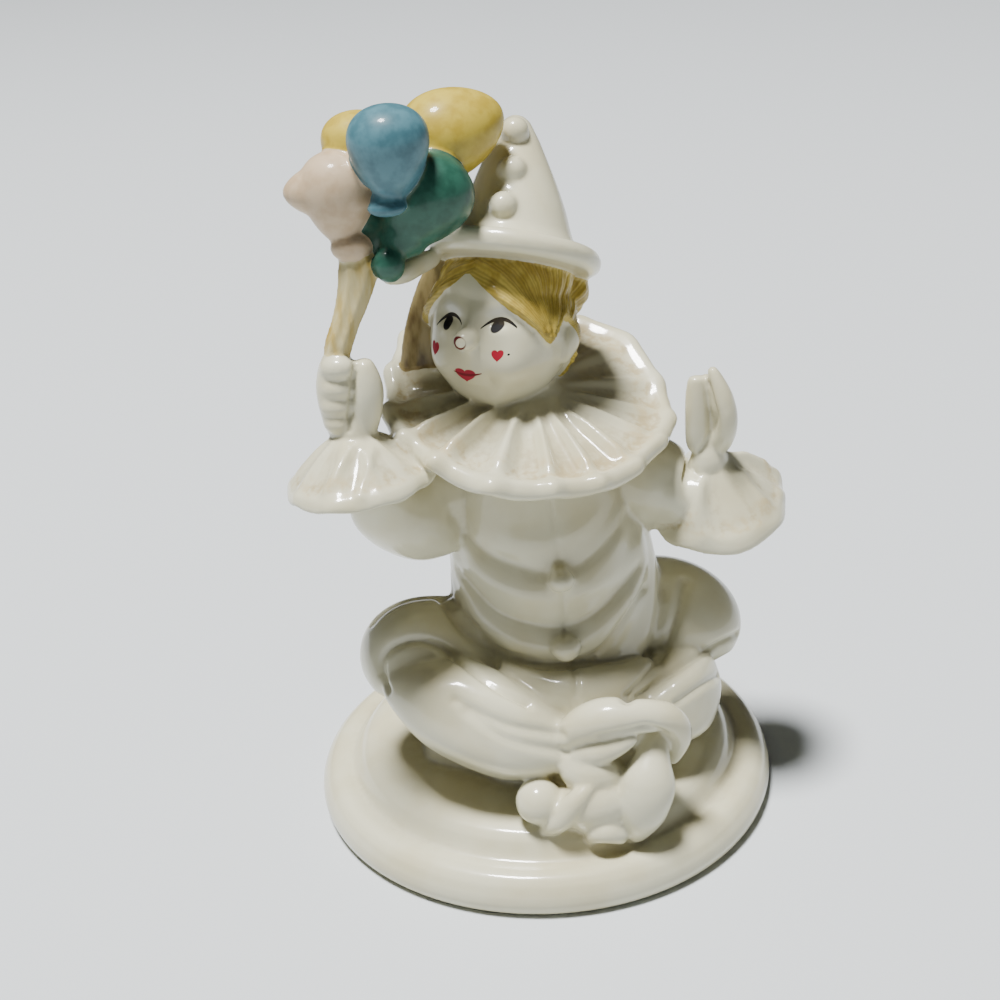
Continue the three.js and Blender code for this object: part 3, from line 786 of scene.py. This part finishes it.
def on_casting(tree, pixel):
    """The place where the ray through a pixel meets the casting, in mm."""
    hit = tree.ray_cast(Vector(CAMERA_PLACE * MM), Vector(pixel_ray(pixel)))
    return None if hit[0] is None else np.array(hit[0]) / MM


def on_side(tree, spot):
    """The place that a level ray meets, coming in from a bearing in degrees at a height in mm."""
    around = math.radians(spot[0])
    outward = np.array([math.cos(around), math.sin(around), 0])
    start = outward * 80 + np.array([*BODY_AXIS, spot[1]])
    hit = tree.ray_cast(Vector(start * MM), Vector(-outward))
    return None if hit[0] is None else np.array(hit[0]) / MM


def stroke_distance(places, line):
    """How far each place is from a line of points."""
    nearest = np.full(len(places), 1e9)
    for a, b in zip(line[:-1], line[1:]):
        along = b - a
        share = np.clip((places - a) @ along / max(along @ along, LEFT_OVER), 0, 1)
        gap = np.linalg.norm(places - a - share[:, None] * along, axis=1)
        nearest = np.minimum(nearest, gap)
    return nearest


def work_strokes(piece):
    tree = tree_of(piece)
    places = vertices_of(piece)
    normals = normals_of(piece)
    raised = np.zeros(len(places))
    for table, find in ((STROKES, on_casting), (SIDE_STROKES, on_side)):
        for spots, width, height in table.values():
            spread = curve(spots)(np.linspace(0, 1, 24))
            line = [find(tree, spot) for spot in spread]
            line = np.array([p for p in line if p is not None])
            low, high = line.min(axis=0) - 3 * width, line.max(axis=0) + 3 * width
            near_by = np.nonzero(((places > low) & (places < high)).all(axis=1))[0]
            gap = stroke_distance(places[near_by], line)
            raised[near_by] += height * np.exp(-((gap / width) ** 2))
    move_vertices(piece, places + normals * raised[:, None])


work_strokes(casting)
print(len(STROKES) + len(SIDE_STROKES), "strokes worked in")

# %% [markdown]
# The hair is combed: shallow grooves follow the strands, which leave the parting and gather towards a lock in
# front of each ear. A strand's number is its bearing about the line between the two locks, so it is the same
# all along the strand, and the material draws the finest strands from the same number, with painted shade in
# their grooves.

# %% Combed hair
LOCK_TIP = unit(np.array([11.2, 3.7, 1.2]))
STRAND_LOCKS = 15
STRAND_LINES = 46
COMB_DEPTH = 0.3


def in_face_frame(places):
    away = places - HEAD_CENTRE
    return np.stack([away @ FACE_RIGHT, away @ FACE_FORWARD, away @ FACE_UP], 1)


def strand_number(places):
    """The strand's bearing in radians, about the axis through the lock on its own side of the parting."""
    local = in_face_frame(places)
    side = np.where(local[:, 0] > -0.9, 1.0, -1.0)
    local = local * np.stack([side, np.ones_like(side), np.ones_like(side)], 1)
    over = unit(np.cross(LOCK_TIP, np.array([0, 1, 0])))
    ahead = np.cross(over, LOCK_TIP)
    return np.arctan2(local @ over, local @ ahead)


def hair_depth(places):
    """How far inside the hair's edge each place lies, in mm; it counts only near the head."""
    local = in_face_frame(places)
    aside, above = head_angles(unit(local * np.array([1, -1, 1])))
    return (above - hairline(aside)) * math.radians(1) * HEAD_RADIUS


def comb(piece):
    places = vertices_of(piece)
    normals = normals_of(piece)
    hair = [shape for shape, paint, _ in forms if paint == "hair" or shape.name == "skull"]
    others = [shape for shape, paint, _ in forms if paint != "hair" and shape.name != "skull"]
    near_by = np.nonzero(np.linalg.norm(places - HEAD_CENTRE, axis=1) < HEAD_RADIUS + 4)[0]
    spots = places[near_by]
    own = distances(joined_tree(hair)[0], spots)
    rest = distances(joined_tree(others)[0], spots)
    inside = ramp(hair_depth(spots), 0, 1.2) * ramp(rest - own, 0, 0.6)
    number = strand_number(spots)
    locks = np.cos(STRAND_LOCKS * number + 1.2 * np.sin(5 * number))
    lines = np.cos(STRAND_LINES * number + 2 * np.sin(3 * number))
    depth = COMB_DEPTH * (0.6 * locks + 0.4 * lines - 0.4)
    places[near_by] += normals[near_by] * (inside * depth)[:, None]
    move_vertices(piece, places)


def distances(tree, places):
    return np.array([tree.find_nearest(Vector(p * MM))[3] for p in places]) / MM


def drop_specks(piece):
    """Deletes the loose doubled faces that decimation leaves. No corner of theirs has more than two edges."""
    ends = np.empty(len(piece.data.edges) * 2, np.int32)
    piece.data.edges.foreach_get("vertices", ends)
    count = np.bincount(ends, minlength=len(piece.data.vertices))
    busiest = np.zeros_like(count)
    np.maximum.at(busiest, ends, np.repeat(count[ends.reshape(-1, 2)].max(axis=1), 2))
    specks = np.nonzero(busiest < 3)[0]
    bpy.ops.object.mode_set(mode="EDIT")
    bpy.ops.mesh.select_mode(type="VERT")
    bpy.ops.mesh.select_all(action="DESELECT")
    bpy.ops.object.mode_set(mode="OBJECT")
    for i in specks:
        piece.data.vertices[i].select = True
    bpy.ops.object.mode_set(mode="EDIT")
    bpy.ops.mesh.delete(type="VERT")
    bpy.ops.object.mode_set(mode="OBJECT")
    return len(specks)


comb(casting)
apply_modifier(casting, "DECIMATE", ratio=min(1, TRIANGLES / (2 * len(casting.data.polygons))))
print("hair combed,", drop_specks(casting), "corners of specks deleted,", len(casting.data.polygons), "faces")

# %% [markdown]
# Paint follows the forms. For each colour a number at every vertex says by how many millimetres its own
# forms lie nearer than all others, so the brush's edge is where the number passes zero. The hair's edge on
# the skull is the hairline instead. Other numbers say how hollow the skin is, how far out on a frill it lies
# and which strand of hair it is.

# %% Paint fields
PAINTS = ("hair", "yellow", "blue", "green", "beige", "strings", "stain_and_shade")
CAVITY_STEPS = 14
CAVITY_MM = 0.16


def add_number(piece, name, values):
    attribute = piece.data.attributes.new(name, "FLOAT", "POINT")
    attribute.data.foreach_set("value", values.astype(np.float32))


def hollows(piece, places, normals):
    """How far the skin lies below its smoothed self, in mm: positive in creases, negative on crests."""
    mean = neighbour_mean(piece)
    blurred = places
    for _ in range(CAVITY_STEPS):
        blurred = mean(blurred)
    return ((blurred - places) * normals).sum(axis=1)


def frill_reach(places):
    """How far out on its frill each place lies, from 0 at the middle to 1 at the rim, and 0 off the frills."""
    reach = np.zeros(len(places))
    for name, (centre, spin, radius) in frills.items():
        own = distances(joined_tree([shape for shape, _, _ in forms if shape.name == name])[0], places)
        flat = (places - centre) @ spin
        on_it = 1 - ramp(own, 0.5, 1.2)
        reach = np.maximum(reach, on_it * np.hypot(flat[:, 0], flat[:, 1]) / radius)
    return reach


def paint_fields(piece):
    places = vertices_of(piece)
    normals = normals_of(piece)
    groups = {}
    for shape, paint, _ in forms:
        groups.setdefault(paint, []).append(shape)
    gaps = {paint: distances(joined_tree(shapes)[0], places) for paint, shapes in groups.items()}
    for paint in PAINTS:
        others = np.min([gap for name, gap in gaps.items() if name != paint], axis=0)
        field = others - gaps[paint]
        if paint == "hair":
            rest = np.min([gap for name, gap in gaps.items() if name not in ("hair", "skin")], axis=0)
            own = np.minimum(gaps["hair"], gaps["skin"])
            field = np.minimum(hair_depth(places), rest - own)
        add_number(piece, paint, field)
    add_number(piece, "hollow", np.clip(hollows(piece, places, normals) / CAVITY_MM, -1, 1))
    add_number(piece, "frill", frill_reach(places))
    add_number(piece, "strand", strand_number(places))


paint_fields(casting)
print("paint fields", ", ".join(PAINTS))

# %% [markdown]
# The shader's arithmetic is built by small helpers, and what several paints share is a node group. The face
# group turns a place on the casting into millimetres to the face's right, up and forward from its centre.

# %% Shader tools
def srgb(red, green, blue):
    """A colour as read off a screen, 0 to 255, made linear."""
    shares = [c / 255 for c in (red, green, blue)]
    return tuple(c / 12.92 if c <= 0.04045 else ((c + 0.055) / 1.055) ** 2.4 for c in shares) + (1,)


def put(tree, socket, value):
    if isinstance(value, bpy.types.NodeSocket):
        tree.links.new(value, socket)
    else:
        socket.default_value = value


def work(tree, operation, *values):
    node = tree.nodes.new("ShaderNodeMath")
    node.operation = operation
    for socket, value in zip(node.inputs, values):
        put(tree, socket, value)
    return node.outputs[0]


def soft_step(tree, value, low, high):
    node = tree.nodes.new("ShaderNodeMapRange")
    node.interpolation_type = "SMOOTHSTEP"
    put(tree, node.inputs["Value"], value)
    put(tree, node.inputs["From Min"], low)
    put(tree, node.inputs["From Max"], high)
    return node.outputs["Result"]


def mix(tree, share, first, second):
    node = tree.nodes.new("ShaderNodeMix")
    node.data_type = "RGBA"
    put(tree, node.inputs[0], share)
    put(tree, node.inputs[6], first)
    put(tree, node.inputs[7], second)
    return node.outputs[2]


def number(tree, name):
    node = tree.nodes.new("ShaderNodeAttribute")
    node.attribute_name = name
    return node.outputs["Fac"]


def noise(tree, vector, scale, detail=3.0, stretch=None):
    """Noise on Object coordinates; scale is features in each metre, stretch squeezes the axes."""
    if stretch is not None:
        mapping = tree.nodes.new("ShaderNodeMapping")
        mapping.inputs["Scale"].default_value = stretch
        tree.links.new(vector, mapping.inputs["Vector"])
        vector = mapping.outputs["Vector"]
    node = tree.nodes.new("ShaderNodeTexNoise")
    node.inputs["Scale"].default_value = scale
    node.inputs["Detail"].default_value = detail
    tree.links.new(vector, node.inputs["Vector"])
    return node.outputs["Fac"]


def new_group(name, inputs, outputs):
    tree = bpy.data.node_groups.new(name, "ShaderNodeTree")
    for label, kind in inputs:
        tree.interface.new_socket(label, in_out="INPUT", socket_type=kind)
    for label, kind in outputs:
        tree.interface.new_socket(label, in_out="OUTPUT", socket_type=kind)
    return tree, tree.nodes.new("NodeGroupInput").outputs, tree.nodes.new("NodeGroupOutput").inputs


def use_group(tree, group, **values):
    node = tree.nodes.new("ShaderNodeGroup")
    node.node_tree = group
    for name, value in values.items():
        put(tree, node.inputs[name], value)
    return node.outputs


def face_group():
    tree, given, result = new_group("face place", [("Place", "NodeSocketVector")], [
        ("Right", "NodeSocketFloat"), ("Up", "NodeSocketFloat"), ("Forward", "NodeSocketFloat"),
    ])
    away = tree.nodes.new("ShaderNodeVectorMath")
    away.operation = "SUBTRACT"
    tree.links.new(given[0], away.inputs[0])
    away.inputs[1].default_value = HEAD_CENTRE * MM
    for socket, axis in zip(result, (FACE_RIGHT, FACE_UP, FACE_FORWARD)):
        dot = tree.nodes.new("ShaderNodeVectorMath")
        dot.operation = "DOT_PRODUCT"
        tree.links.new(away.outputs[0], dot.inputs[0])
        dot.inputs[1].default_value = axis / MM
        tree.links.new(dot.outputs["Value"], socket)
    return tree


def spot_group():
    """A mask that is 1 inside an ellipse, with a brush-soft edge."""
    names = ("Right", "Up", "Middle Right", "Middle Up", "Half Width", "Half Height")
    tree, given, result = new_group("painted spot", [(n, "NodeSocketFloat") for n in names], [("Mask", "NodeSocketFloat")])
    x = work(tree, "DIVIDE", work(tree, "SUBTRACT", given[0], given[2]), given[4])
    y = work(tree, "DIVIDE", work(tree, "SUBTRACT", given[1], given[3]), given[5])
    reach = work(tree, "SQRT", work(tree, "ADD", work(tree, "MULTIPLY", x, x), work(tree, "MULTIPLY", y, y)))
    tree.links.new(work(tree, "SUBTRACT", 1.0, soft_step(tree, reach, 0.9, 1.1)), result[0])
    return tree


def soft_spot_group():
    """A mask that fades from 1 in the middle of an ellipse to 0 at its edge."""
    names = ("Right", "Up", "Middle Right", "Middle Up", "Half Width", "Half Height")
    tree, given, result = new_group("soft spot", [(n, "NodeSocketFloat") for n in names], [("Mask", "NodeSocketFloat")])
    x = work(tree, "DIVIDE", work(tree, "SUBTRACT", given[0], given[2]), given[4])
    y = work(tree, "DIVIDE", work(tree, "SUBTRACT", given[1], given[3]), given[5])
    reach = work(tree, "SQRT", work(tree, "ADD", work(tree, "MULTIPLY", x, x), work(tree, "MULTIPLY", y, y)))
    tree.links.new(work(tree, "SUBTRACT", 1.0, soft_step(tree, reach, 0.1, 1.1)), result[0])
    return tree


def stroke_group():
    """A mask of one arched brush stroke: thick in the middle, thin at its ends."""
    names = ("Right", "Up", "Middle Right", "Middle Up", "Half Length", "Arch", "Thickness", "Slope")
    tree, given, result = new_group("painted stroke", [(n, "NodeSocketFloat") for n in names], [("Mask", "NodeSocketFloat")])
    away = work(tree, "SUBTRACT", given[0], given[2])
    x = work(tree, "DIVIDE", away, given[4])
    fall = work(tree, "SUBTRACT", 1.0, work(tree, "MULTIPLY", x, x))
    arch = work(tree, "ADD", work(tree, "MULTIPLY", given[5], fall), work(tree, "MULTIPLY", away, given[7]))
    gap = work(tree, "ABSOLUTE", work(tree, "SUBTRACT", given[1], work(tree, "ADD", given[3], arch)))
    thick = work(tree, "MULTIPLY", given[6], work(tree, "ADD", 0.35, work(tree, "MULTIPLY", 0.65, fall)))
    inside = soft_step(tree, work(tree, "SUBTRACT", thick, gap), -0.04, 0.06)
    tree.links.new(work(tree, "MULTIPLY", inside, soft_step(tree, fall, 0.0, 0.08)), result[0])
    return tree


def heart_group():
    """A mask of a small heart, point down."""
    names = ("Right", "Up", "Middle Right", "Middle Up", "Half Width", "Half Height")
    tree, given, result = new_group("painted heart", [(n, "NodeSocketFloat") for n in names], [("Mask", "NodeSocketFloat")])
    x = work(tree, "DIVIDE", work(tree, "SUBTRACT", given[0], given[2]), given[4])
    y = work(tree, "DIVIDE", work(tree, "SUBTRACT", given[1], given[3]), given[5])
    lifted = work(tree, "SUBTRACT", y, work(tree, "MULTIPLY", 0.75, work(tree, "SQRT", work(tree, "ABSOLUTE", x))))
    reach = work(tree, "ADD", work(tree, "MULTIPLY", x, x), work(tree, "MULTIPLY", lifted, lifted))
    tree.links.new(work(tree, "SUBTRACT", 1.0, soft_step(tree, reach, 0.8, 1.05)), result[0])
    return tree


FACE = face_group()
SPOT = spot_group()
SOFT_SPOT = soft_spot_group()
STROKE = stroke_group()
HEART = heart_group()
print("node groups", [g.name for g in bpy.data.node_groups])

# %% [markdown]
# The face is painted from the photograph: lashes and pupils in black, lips and hearts in red, and a
# dark ring on the nose. The ring sits at the nose's own place; each other mark is placed by pixels, carried on
# to the casting by their rays, and a stroke is an arch through its two ends and its top.

# %% Face paint
LEFT_PUPIL = (448, 322.6)
RIGHT_PUPIL = (498, 325.6)
LEFT_LASH = ((436.5, 325.6), (447, 315.6), (461.8, 325.4))
RIGHT_LASH = ((480, 329), (496, 319.6), (517.5, 328))
LEFT_HEART = (435, 350)
RIGHT_HEART = (497, 357.6)
LIPS = (465.5, 377)
LIP_LINE = ((453.5, 370.6), (467, 375), (482, 373.6))
CHEEK_SPECK = (508.6, 354.6)
BLACK = srgb(20, 18, 20)
LIP_RED = srgb(160, 40, 58)
LIP_LINE_RED = srgb(112, 30, 40)
HEART_RED = srgb(158, 26, 46)
RING_RED = srgb(84, 20, 22)


def face_place(tree, pixel):
    """Millimetres to the face's right and up of the place that a pixel shows."""
    away = on_casting(tree, pixel) - HEAD_CENTRE
    return float(away @ FACE_RIGHT), float(away @ FACE_UP)


def mark(tree, group, face, middle, **sizes):
    values = {"Right": face["Right"], "Up": face["Up"], "Middle Right": middle[0], "Middle Up": middle[1]}
    values.update({name.replace("_", " ").title(): size for name, size in sizes.items()})
    return use_group(tree, group, **values)["Mask"]


def arch_mark(tree, face, skin, pixels, thickness):
    """One brush stroke whose ends and top are three pixels."""
    start, top, end = [face_place(skin, pixel) for pixel in pixels]
    middle = ((start[0] + end[0]) / 2, (start[1] + end[1]) / 2)
    half = (end[0] - start[0]) / 2
    slope = (end[1] - start[1]) / (2 * half)
    share = (top[0] - middle[0]) / half
    arch = (top[1] - middle[1] - slope * (top[0] - middle[0])) / (1 - share ** 2)
    return mark(tree, STROKE, face, middle, half_length=half, arch=arch, thickness=thickness, slope=slope)


def paint_face(tree, face, colour, skin):
    ring = mark(tree, SPOT, face, NOSE, half_width=1.15, half_height=1.15)
    hole = mark(tree, SPOT, face, (NOSE[0] + 0.38, NOSE[1] + 0.14), half_width=0.74, half_height=0.76)
    left, right = face_place(skin, LEFT_PUPIL), face_place(skin, RIGHT_PUPIL)
    lips = face_place(skin, LIPS)
    marks = [
        (mark(tree, SPOT, face, left, half_width=0.85, half_height=0.95), BLACK),
        (mark(tree, SPOT, face, right, half_width=0.92, half_height=0.86), BLACK),
        (arch_mark(tree, face, skin, LEFT_LASH, 0.34), BLACK),
        (arch_mark(tree, face, skin, RIGHT_LASH, 0.34), BLACK),
        (mark(tree, HEART, face, face_place(skin, LEFT_HEART), half_width=1.1, half_height=1), HEART_RED),
        (mark(tree, HEART, face, face_place(skin, RIGHT_HEART), half_width=0.95, half_height=0.85), HEART_RED),
        (mark(tree, HEART, face, lips, half_width=2.0, half_height=1.05), LIP_RED),
        (arch_mark(tree, face, skin, LIP_LINE, 0.25), LIP_LINE_RED),
        (work(tree, "MULTIPLY", ring, work(tree, "SUBTRACT", 1.0, hole)), RING_RED),
        (mark(tree, SPOT, face, face_place(skin, CHEEK_SPECK), half_width=0.17, half_height=0.17), BLACK),
    ]
    print("pupils at", [round(v, 2) for v in left + right], "lips at", [round(v, 2) for v in lips])
    ahead = soft_step(tree, face["Forward"], 2.0, 4.0)
    ink = 0.0
    for mask, paint in marks:
        mask = work(tree, "MULTIPLY", mask, ahead)
        colour = mix(tree, mask, colour, paint)
        ink = work(tree, "MAXIMUM", ink, mask)
    return colour, ink

# %% [markdown]
# One glazed material covers the casting. Cream glaze varies a little in warmth, grey painted shade lies in the eye
# sockets, yellow-brown grime with painted shade lies in the hollows, and a stain with painted shade lies in the
# trough inside each frill's rim. Each paint has its own tone, brush streaks and edge; the stay's brown is a stain
# with painted shade, and painted shade darkens the grooves between the fine strands of hair. The paints are satin
# and the inked marks are matt, so the clear coat is thinner there.

# %% Painted ceramic
CREAM = srgb(207, 203, 175)
CREAM_WARM = srgb(199, 192, 159)
# Yellow-brown grime with painted shade, for the hollows.
GRIME_AND_SHADE = srgb(134, 116, 78)
# A stain with painted shade, for the trough inside each frill's rim.
TROUGH_STAIN_AND_SHADE = srgb(190, 168, 118)
# Grey painted shade, for the eye sockets.
SOCKET_SHADE = srgb(168, 170, 164)
GLAZE_COAT = 0.8
PAINT_TONES = {
    "hair": (srgb(196, 174, 84), srgb(166, 142, 60)),
    "yellow": (srgb(190, 168, 66), srgb(172, 148, 50)),
    "blue": (srgb(78, 118, 128), srgb(62, 100, 110)),
    "green": (srgb(46, 90, 74), srgb(34, 74, 60)),
    "beige": (srgb(192, 170, 140), srgb(180, 156, 124)),
    "strings": (srgb(192, 180, 134), srgb(164, 140, 68)),
    # The stay's brown: a stain with painted shade.
    "stain_and_shade": (srgb(150, 134, 90), srgb(92, 74, 40)),
}
# Painted shade, for the grooves between fine strands of hair.
HAIR_GROOVE_SHADE = srgb(116, 98, 38)
STREAK = {"hair": (1, 1, 0.4), "strings": (1, 1, 0.12), "stain_and_shade": (1, 1, 0.3)}
FINE_STRANDS = 120
SOCKETS = ((-3.0, 6.4), (5.4, 6.6))


def material(name):
    made = bpy.data.materials.new(name)
    made.use_nodes = True
    return made, made.node_tree, made.node_tree.nodes["Principled BSDF"]


def strand_wave(tree, fine):
    """1 on the crest of a fine strand and 0 in the groove beside it."""
    turned = work(tree, "MULTIPLY", number(tree, "strand"), float(FINE_STRANDS))
    wave = work(tree, "SINE", work(tree, "ADD", turned, work(tree, "MULTIPLY", fine, 5.0)))
    return work(tree, "ADD", 0.5, work(tree, "MULTIPLY", wave, 0.5))


def painted_ceramic(skin):
    made, tree, shader = material("painted ceramic")
    coordinates = tree.nodes.new("ShaderNodeTexCoord").outputs["Object"]
    broad = noise(tree, coordinates, 90)
    fine = noise(tree, coordinates, 700)
    grain = noise(tree, coordinates, 2600, 2.0)
    wobble = work(tree, "MULTIPLY", work(tree, "SUBTRACT", fine, 0.5), 0.3)
    colour = mix(tree, soft_step(tree, broad, 0.35, 0.7), CREAM, CREAM_WARM)
    face = use_group(tree, FACE, Place=coordinates)
    # Grey painted shade in each eye socket, on the front of the face.
    for middle in SOCKETS:
        shade = mark(tree, SOFT_SPOT, face, middle, half_width=3.0, half_height=1.5)
        ahead = soft_step(tree, face["Forward"], 2.0, 5.0)
        colour = mix(tree, work(tree, "MULTIPLY", work(tree, "MULTIPLY", shade, ahead), 0.55), colour, SOCKET_SHADE)
    strands = strand_wave(tree, fine)
    hair_mask = 0.0
    painted = 0.0
    for paint, (light, dark) in PAINT_TONES.items():
        mask = soft_step(tree, work(tree, "ADD", number(tree, paint), wobble), -0.06, 0.06)
        streaks = noise(tree, coordinates, 420, 3.0, STREAK.get(paint, (1, 1, 1)))
        tone = mix(tree, soft_step(tree, streaks, 0.35, 0.68), light, dark)
        if paint == "hair":
            hair_mask = mask
            # Painted shade in the grooves between the fine strands.
            groove_shade = work(tree, "MULTIPLY", work(tree, "SUBTRACT", 1.0, strands), 0.4)
            tone = mix(tree, groove_shade, tone, HAIR_GROOVE_SHADE)
        colour = mix(tree, mask, colour, tone)
        painted = work(tree, "MAXIMUM", painted, mask)
    colour, ink = paint_face(tree, face, colour, skin)
    # Yellow-brown grime with painted shade darkens the hollows, most on the frills.
    hollow = soft_step(tree, number(tree, "hollow"), 0.15, 1.0)
    blotch = soft_step(tree, work(tree, "ADD", work(tree, "MULTIPLY", broad, 0.5), fine), 0.62, 0.95)
    reach = number(tree, "frill")
    # A stain with painted shade in the trough just inside each frill's rim.
    trough = work(tree, "MULTIPLY", soft_step(tree, reach, 0.66, 0.8), work(tree, "SUBTRACT", 1.0, soft_step(tree, reach, 0.86, 0.93)))
    stain_and_shade = work(tree, "MULTIPLY", trough, work(tree, "ADD", 0.05, work(tree, "MULTIPLY", blotch, 0.5)))
    colour = mix(tree, stain_and_shade, colour, TROUGH_STAIN_AND_SHADE)
    on_frill = work(tree, "ADD", 0.35, work(tree, "MULTIPLY", soft_step(tree, reach, 0.3, 0.7), 0.65))
    amount = work(tree, "MULTIPLY", on_frill, work(tree, "ADD", 0.1, work(tree, "MULTIPLY", blotch, 0.25)))
    dirt_and_shade = work(tree, "MULTIPLY", hollow, amount)
    colour = mix(tree, dirt_and_shade, colour, GRIME_AND_SHADE)
    put(tree, shader.inputs["Base Color"], colour)
    rough = work(tree, "ADD", 0.27, work(tree, "MULTIPLY", fine, 0.16))
    matt = work(tree, "ADD", work(tree, "MULTIPLY", painted, 0.12), work(tree, "MULTIPLY", ink, 0.35))
    matt = work(tree, "ADD", matt, work(tree, "MULTIPLY", dirt_and_shade, 0.3))
    put(tree, shader.inputs["Roughness"], work(tree, "ADD", rough, matt))
    bare = work(tree, "SUBTRACT", 1.0, work(tree, "MAXIMUM", work(tree, "MULTIPLY", painted, 0.65), ink))
    put(tree, shader.inputs["Coat Weight"], work(tree, "MULTIPLY", bare, GLAZE_COAT))
    shader.inputs["Coat Roughness"].default_value = 0.1
    shader.inputs["Specular IOR Level"].default_value = 0.2
    bump = tree.nodes.new("ShaderNodeBump")
    bump.inputs["Strength"].default_value = 0.3
    bump.inputs["Distance"].default_value = 0.0001
    height = work(tree, "ADD", fine, work(tree, "MULTIPLY", grain, 0.3))
    combed = work(tree, "MULTIPLY", work(tree, "MULTIPLY", strands, hair_mask), 1.2)
    put(tree, bump.inputs["Height"], work(tree, "ADD", height, combed))
    put(tree, shader.inputs["Normal"], bump.outputs["Normal"])
    return made


skin = tree_of(casting)
casting.data.materials.clear()
casting.data.materials.append(painted_ceramic(skin))
for shape, _, _ in forms:
    bpy.data.objects.remove(shape)
casting.data.shade_smooth()
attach(casting, "root")
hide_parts(NODE)
print("casting painted")

# %% [markdown]
# A plain pale floor and one soft ceiling light, nearly overhead, as in the photograph: the top of every
# form is bright with a small highlight, and the chest under the collar is in shade.

# %% Floor and light
FLOOR_TONE = srgb(202, 206, 208)
FLOOR_SIZE = 4


def make_floor():
    bpy.ops.mesh.primitive_plane_add(size=FLOOR_SIZE)
    floor = bpy.context.object
    floor.name = "floor"
    made, tree, shader = material("pale floor")
    shader.inputs["Base Color"].default_value = FLOOR_TONE
    shader.inputs["Roughness"].default_value = 0.8
    floor.data.materials.append(made)


def area_light(name, place, size, power, aim=(0, 0, 0.06)):
    bpy.ops.object.light_add(type="AREA", location=place)
    lamp = bpy.context.object
    lamp.name = name
    lamp.data.shape = "DISK"
    lamp.data.size = size
    lamp.data.energy = power
    lamp.rotation_euler = (Vector(aim) - Vector(place)).to_track_quat("-Z", "Y").to_euler()


def make_world(tone, strength):
    world = bpy.data.worlds.new("studio")
    bpy.context.scene.world = world
    world.use_nodes = True
    background = world.node_tree.nodes["Background"]
    background.inputs["Color"].default_value = tone
    background.inputs["Strength"].default_value = strength


make_floor()
area_light("ceiling", (-0.38, -0.2, 2.2), 0.5, 138)
make_world(srgb(225, 230, 236), 0.07)
print("floor and light made")
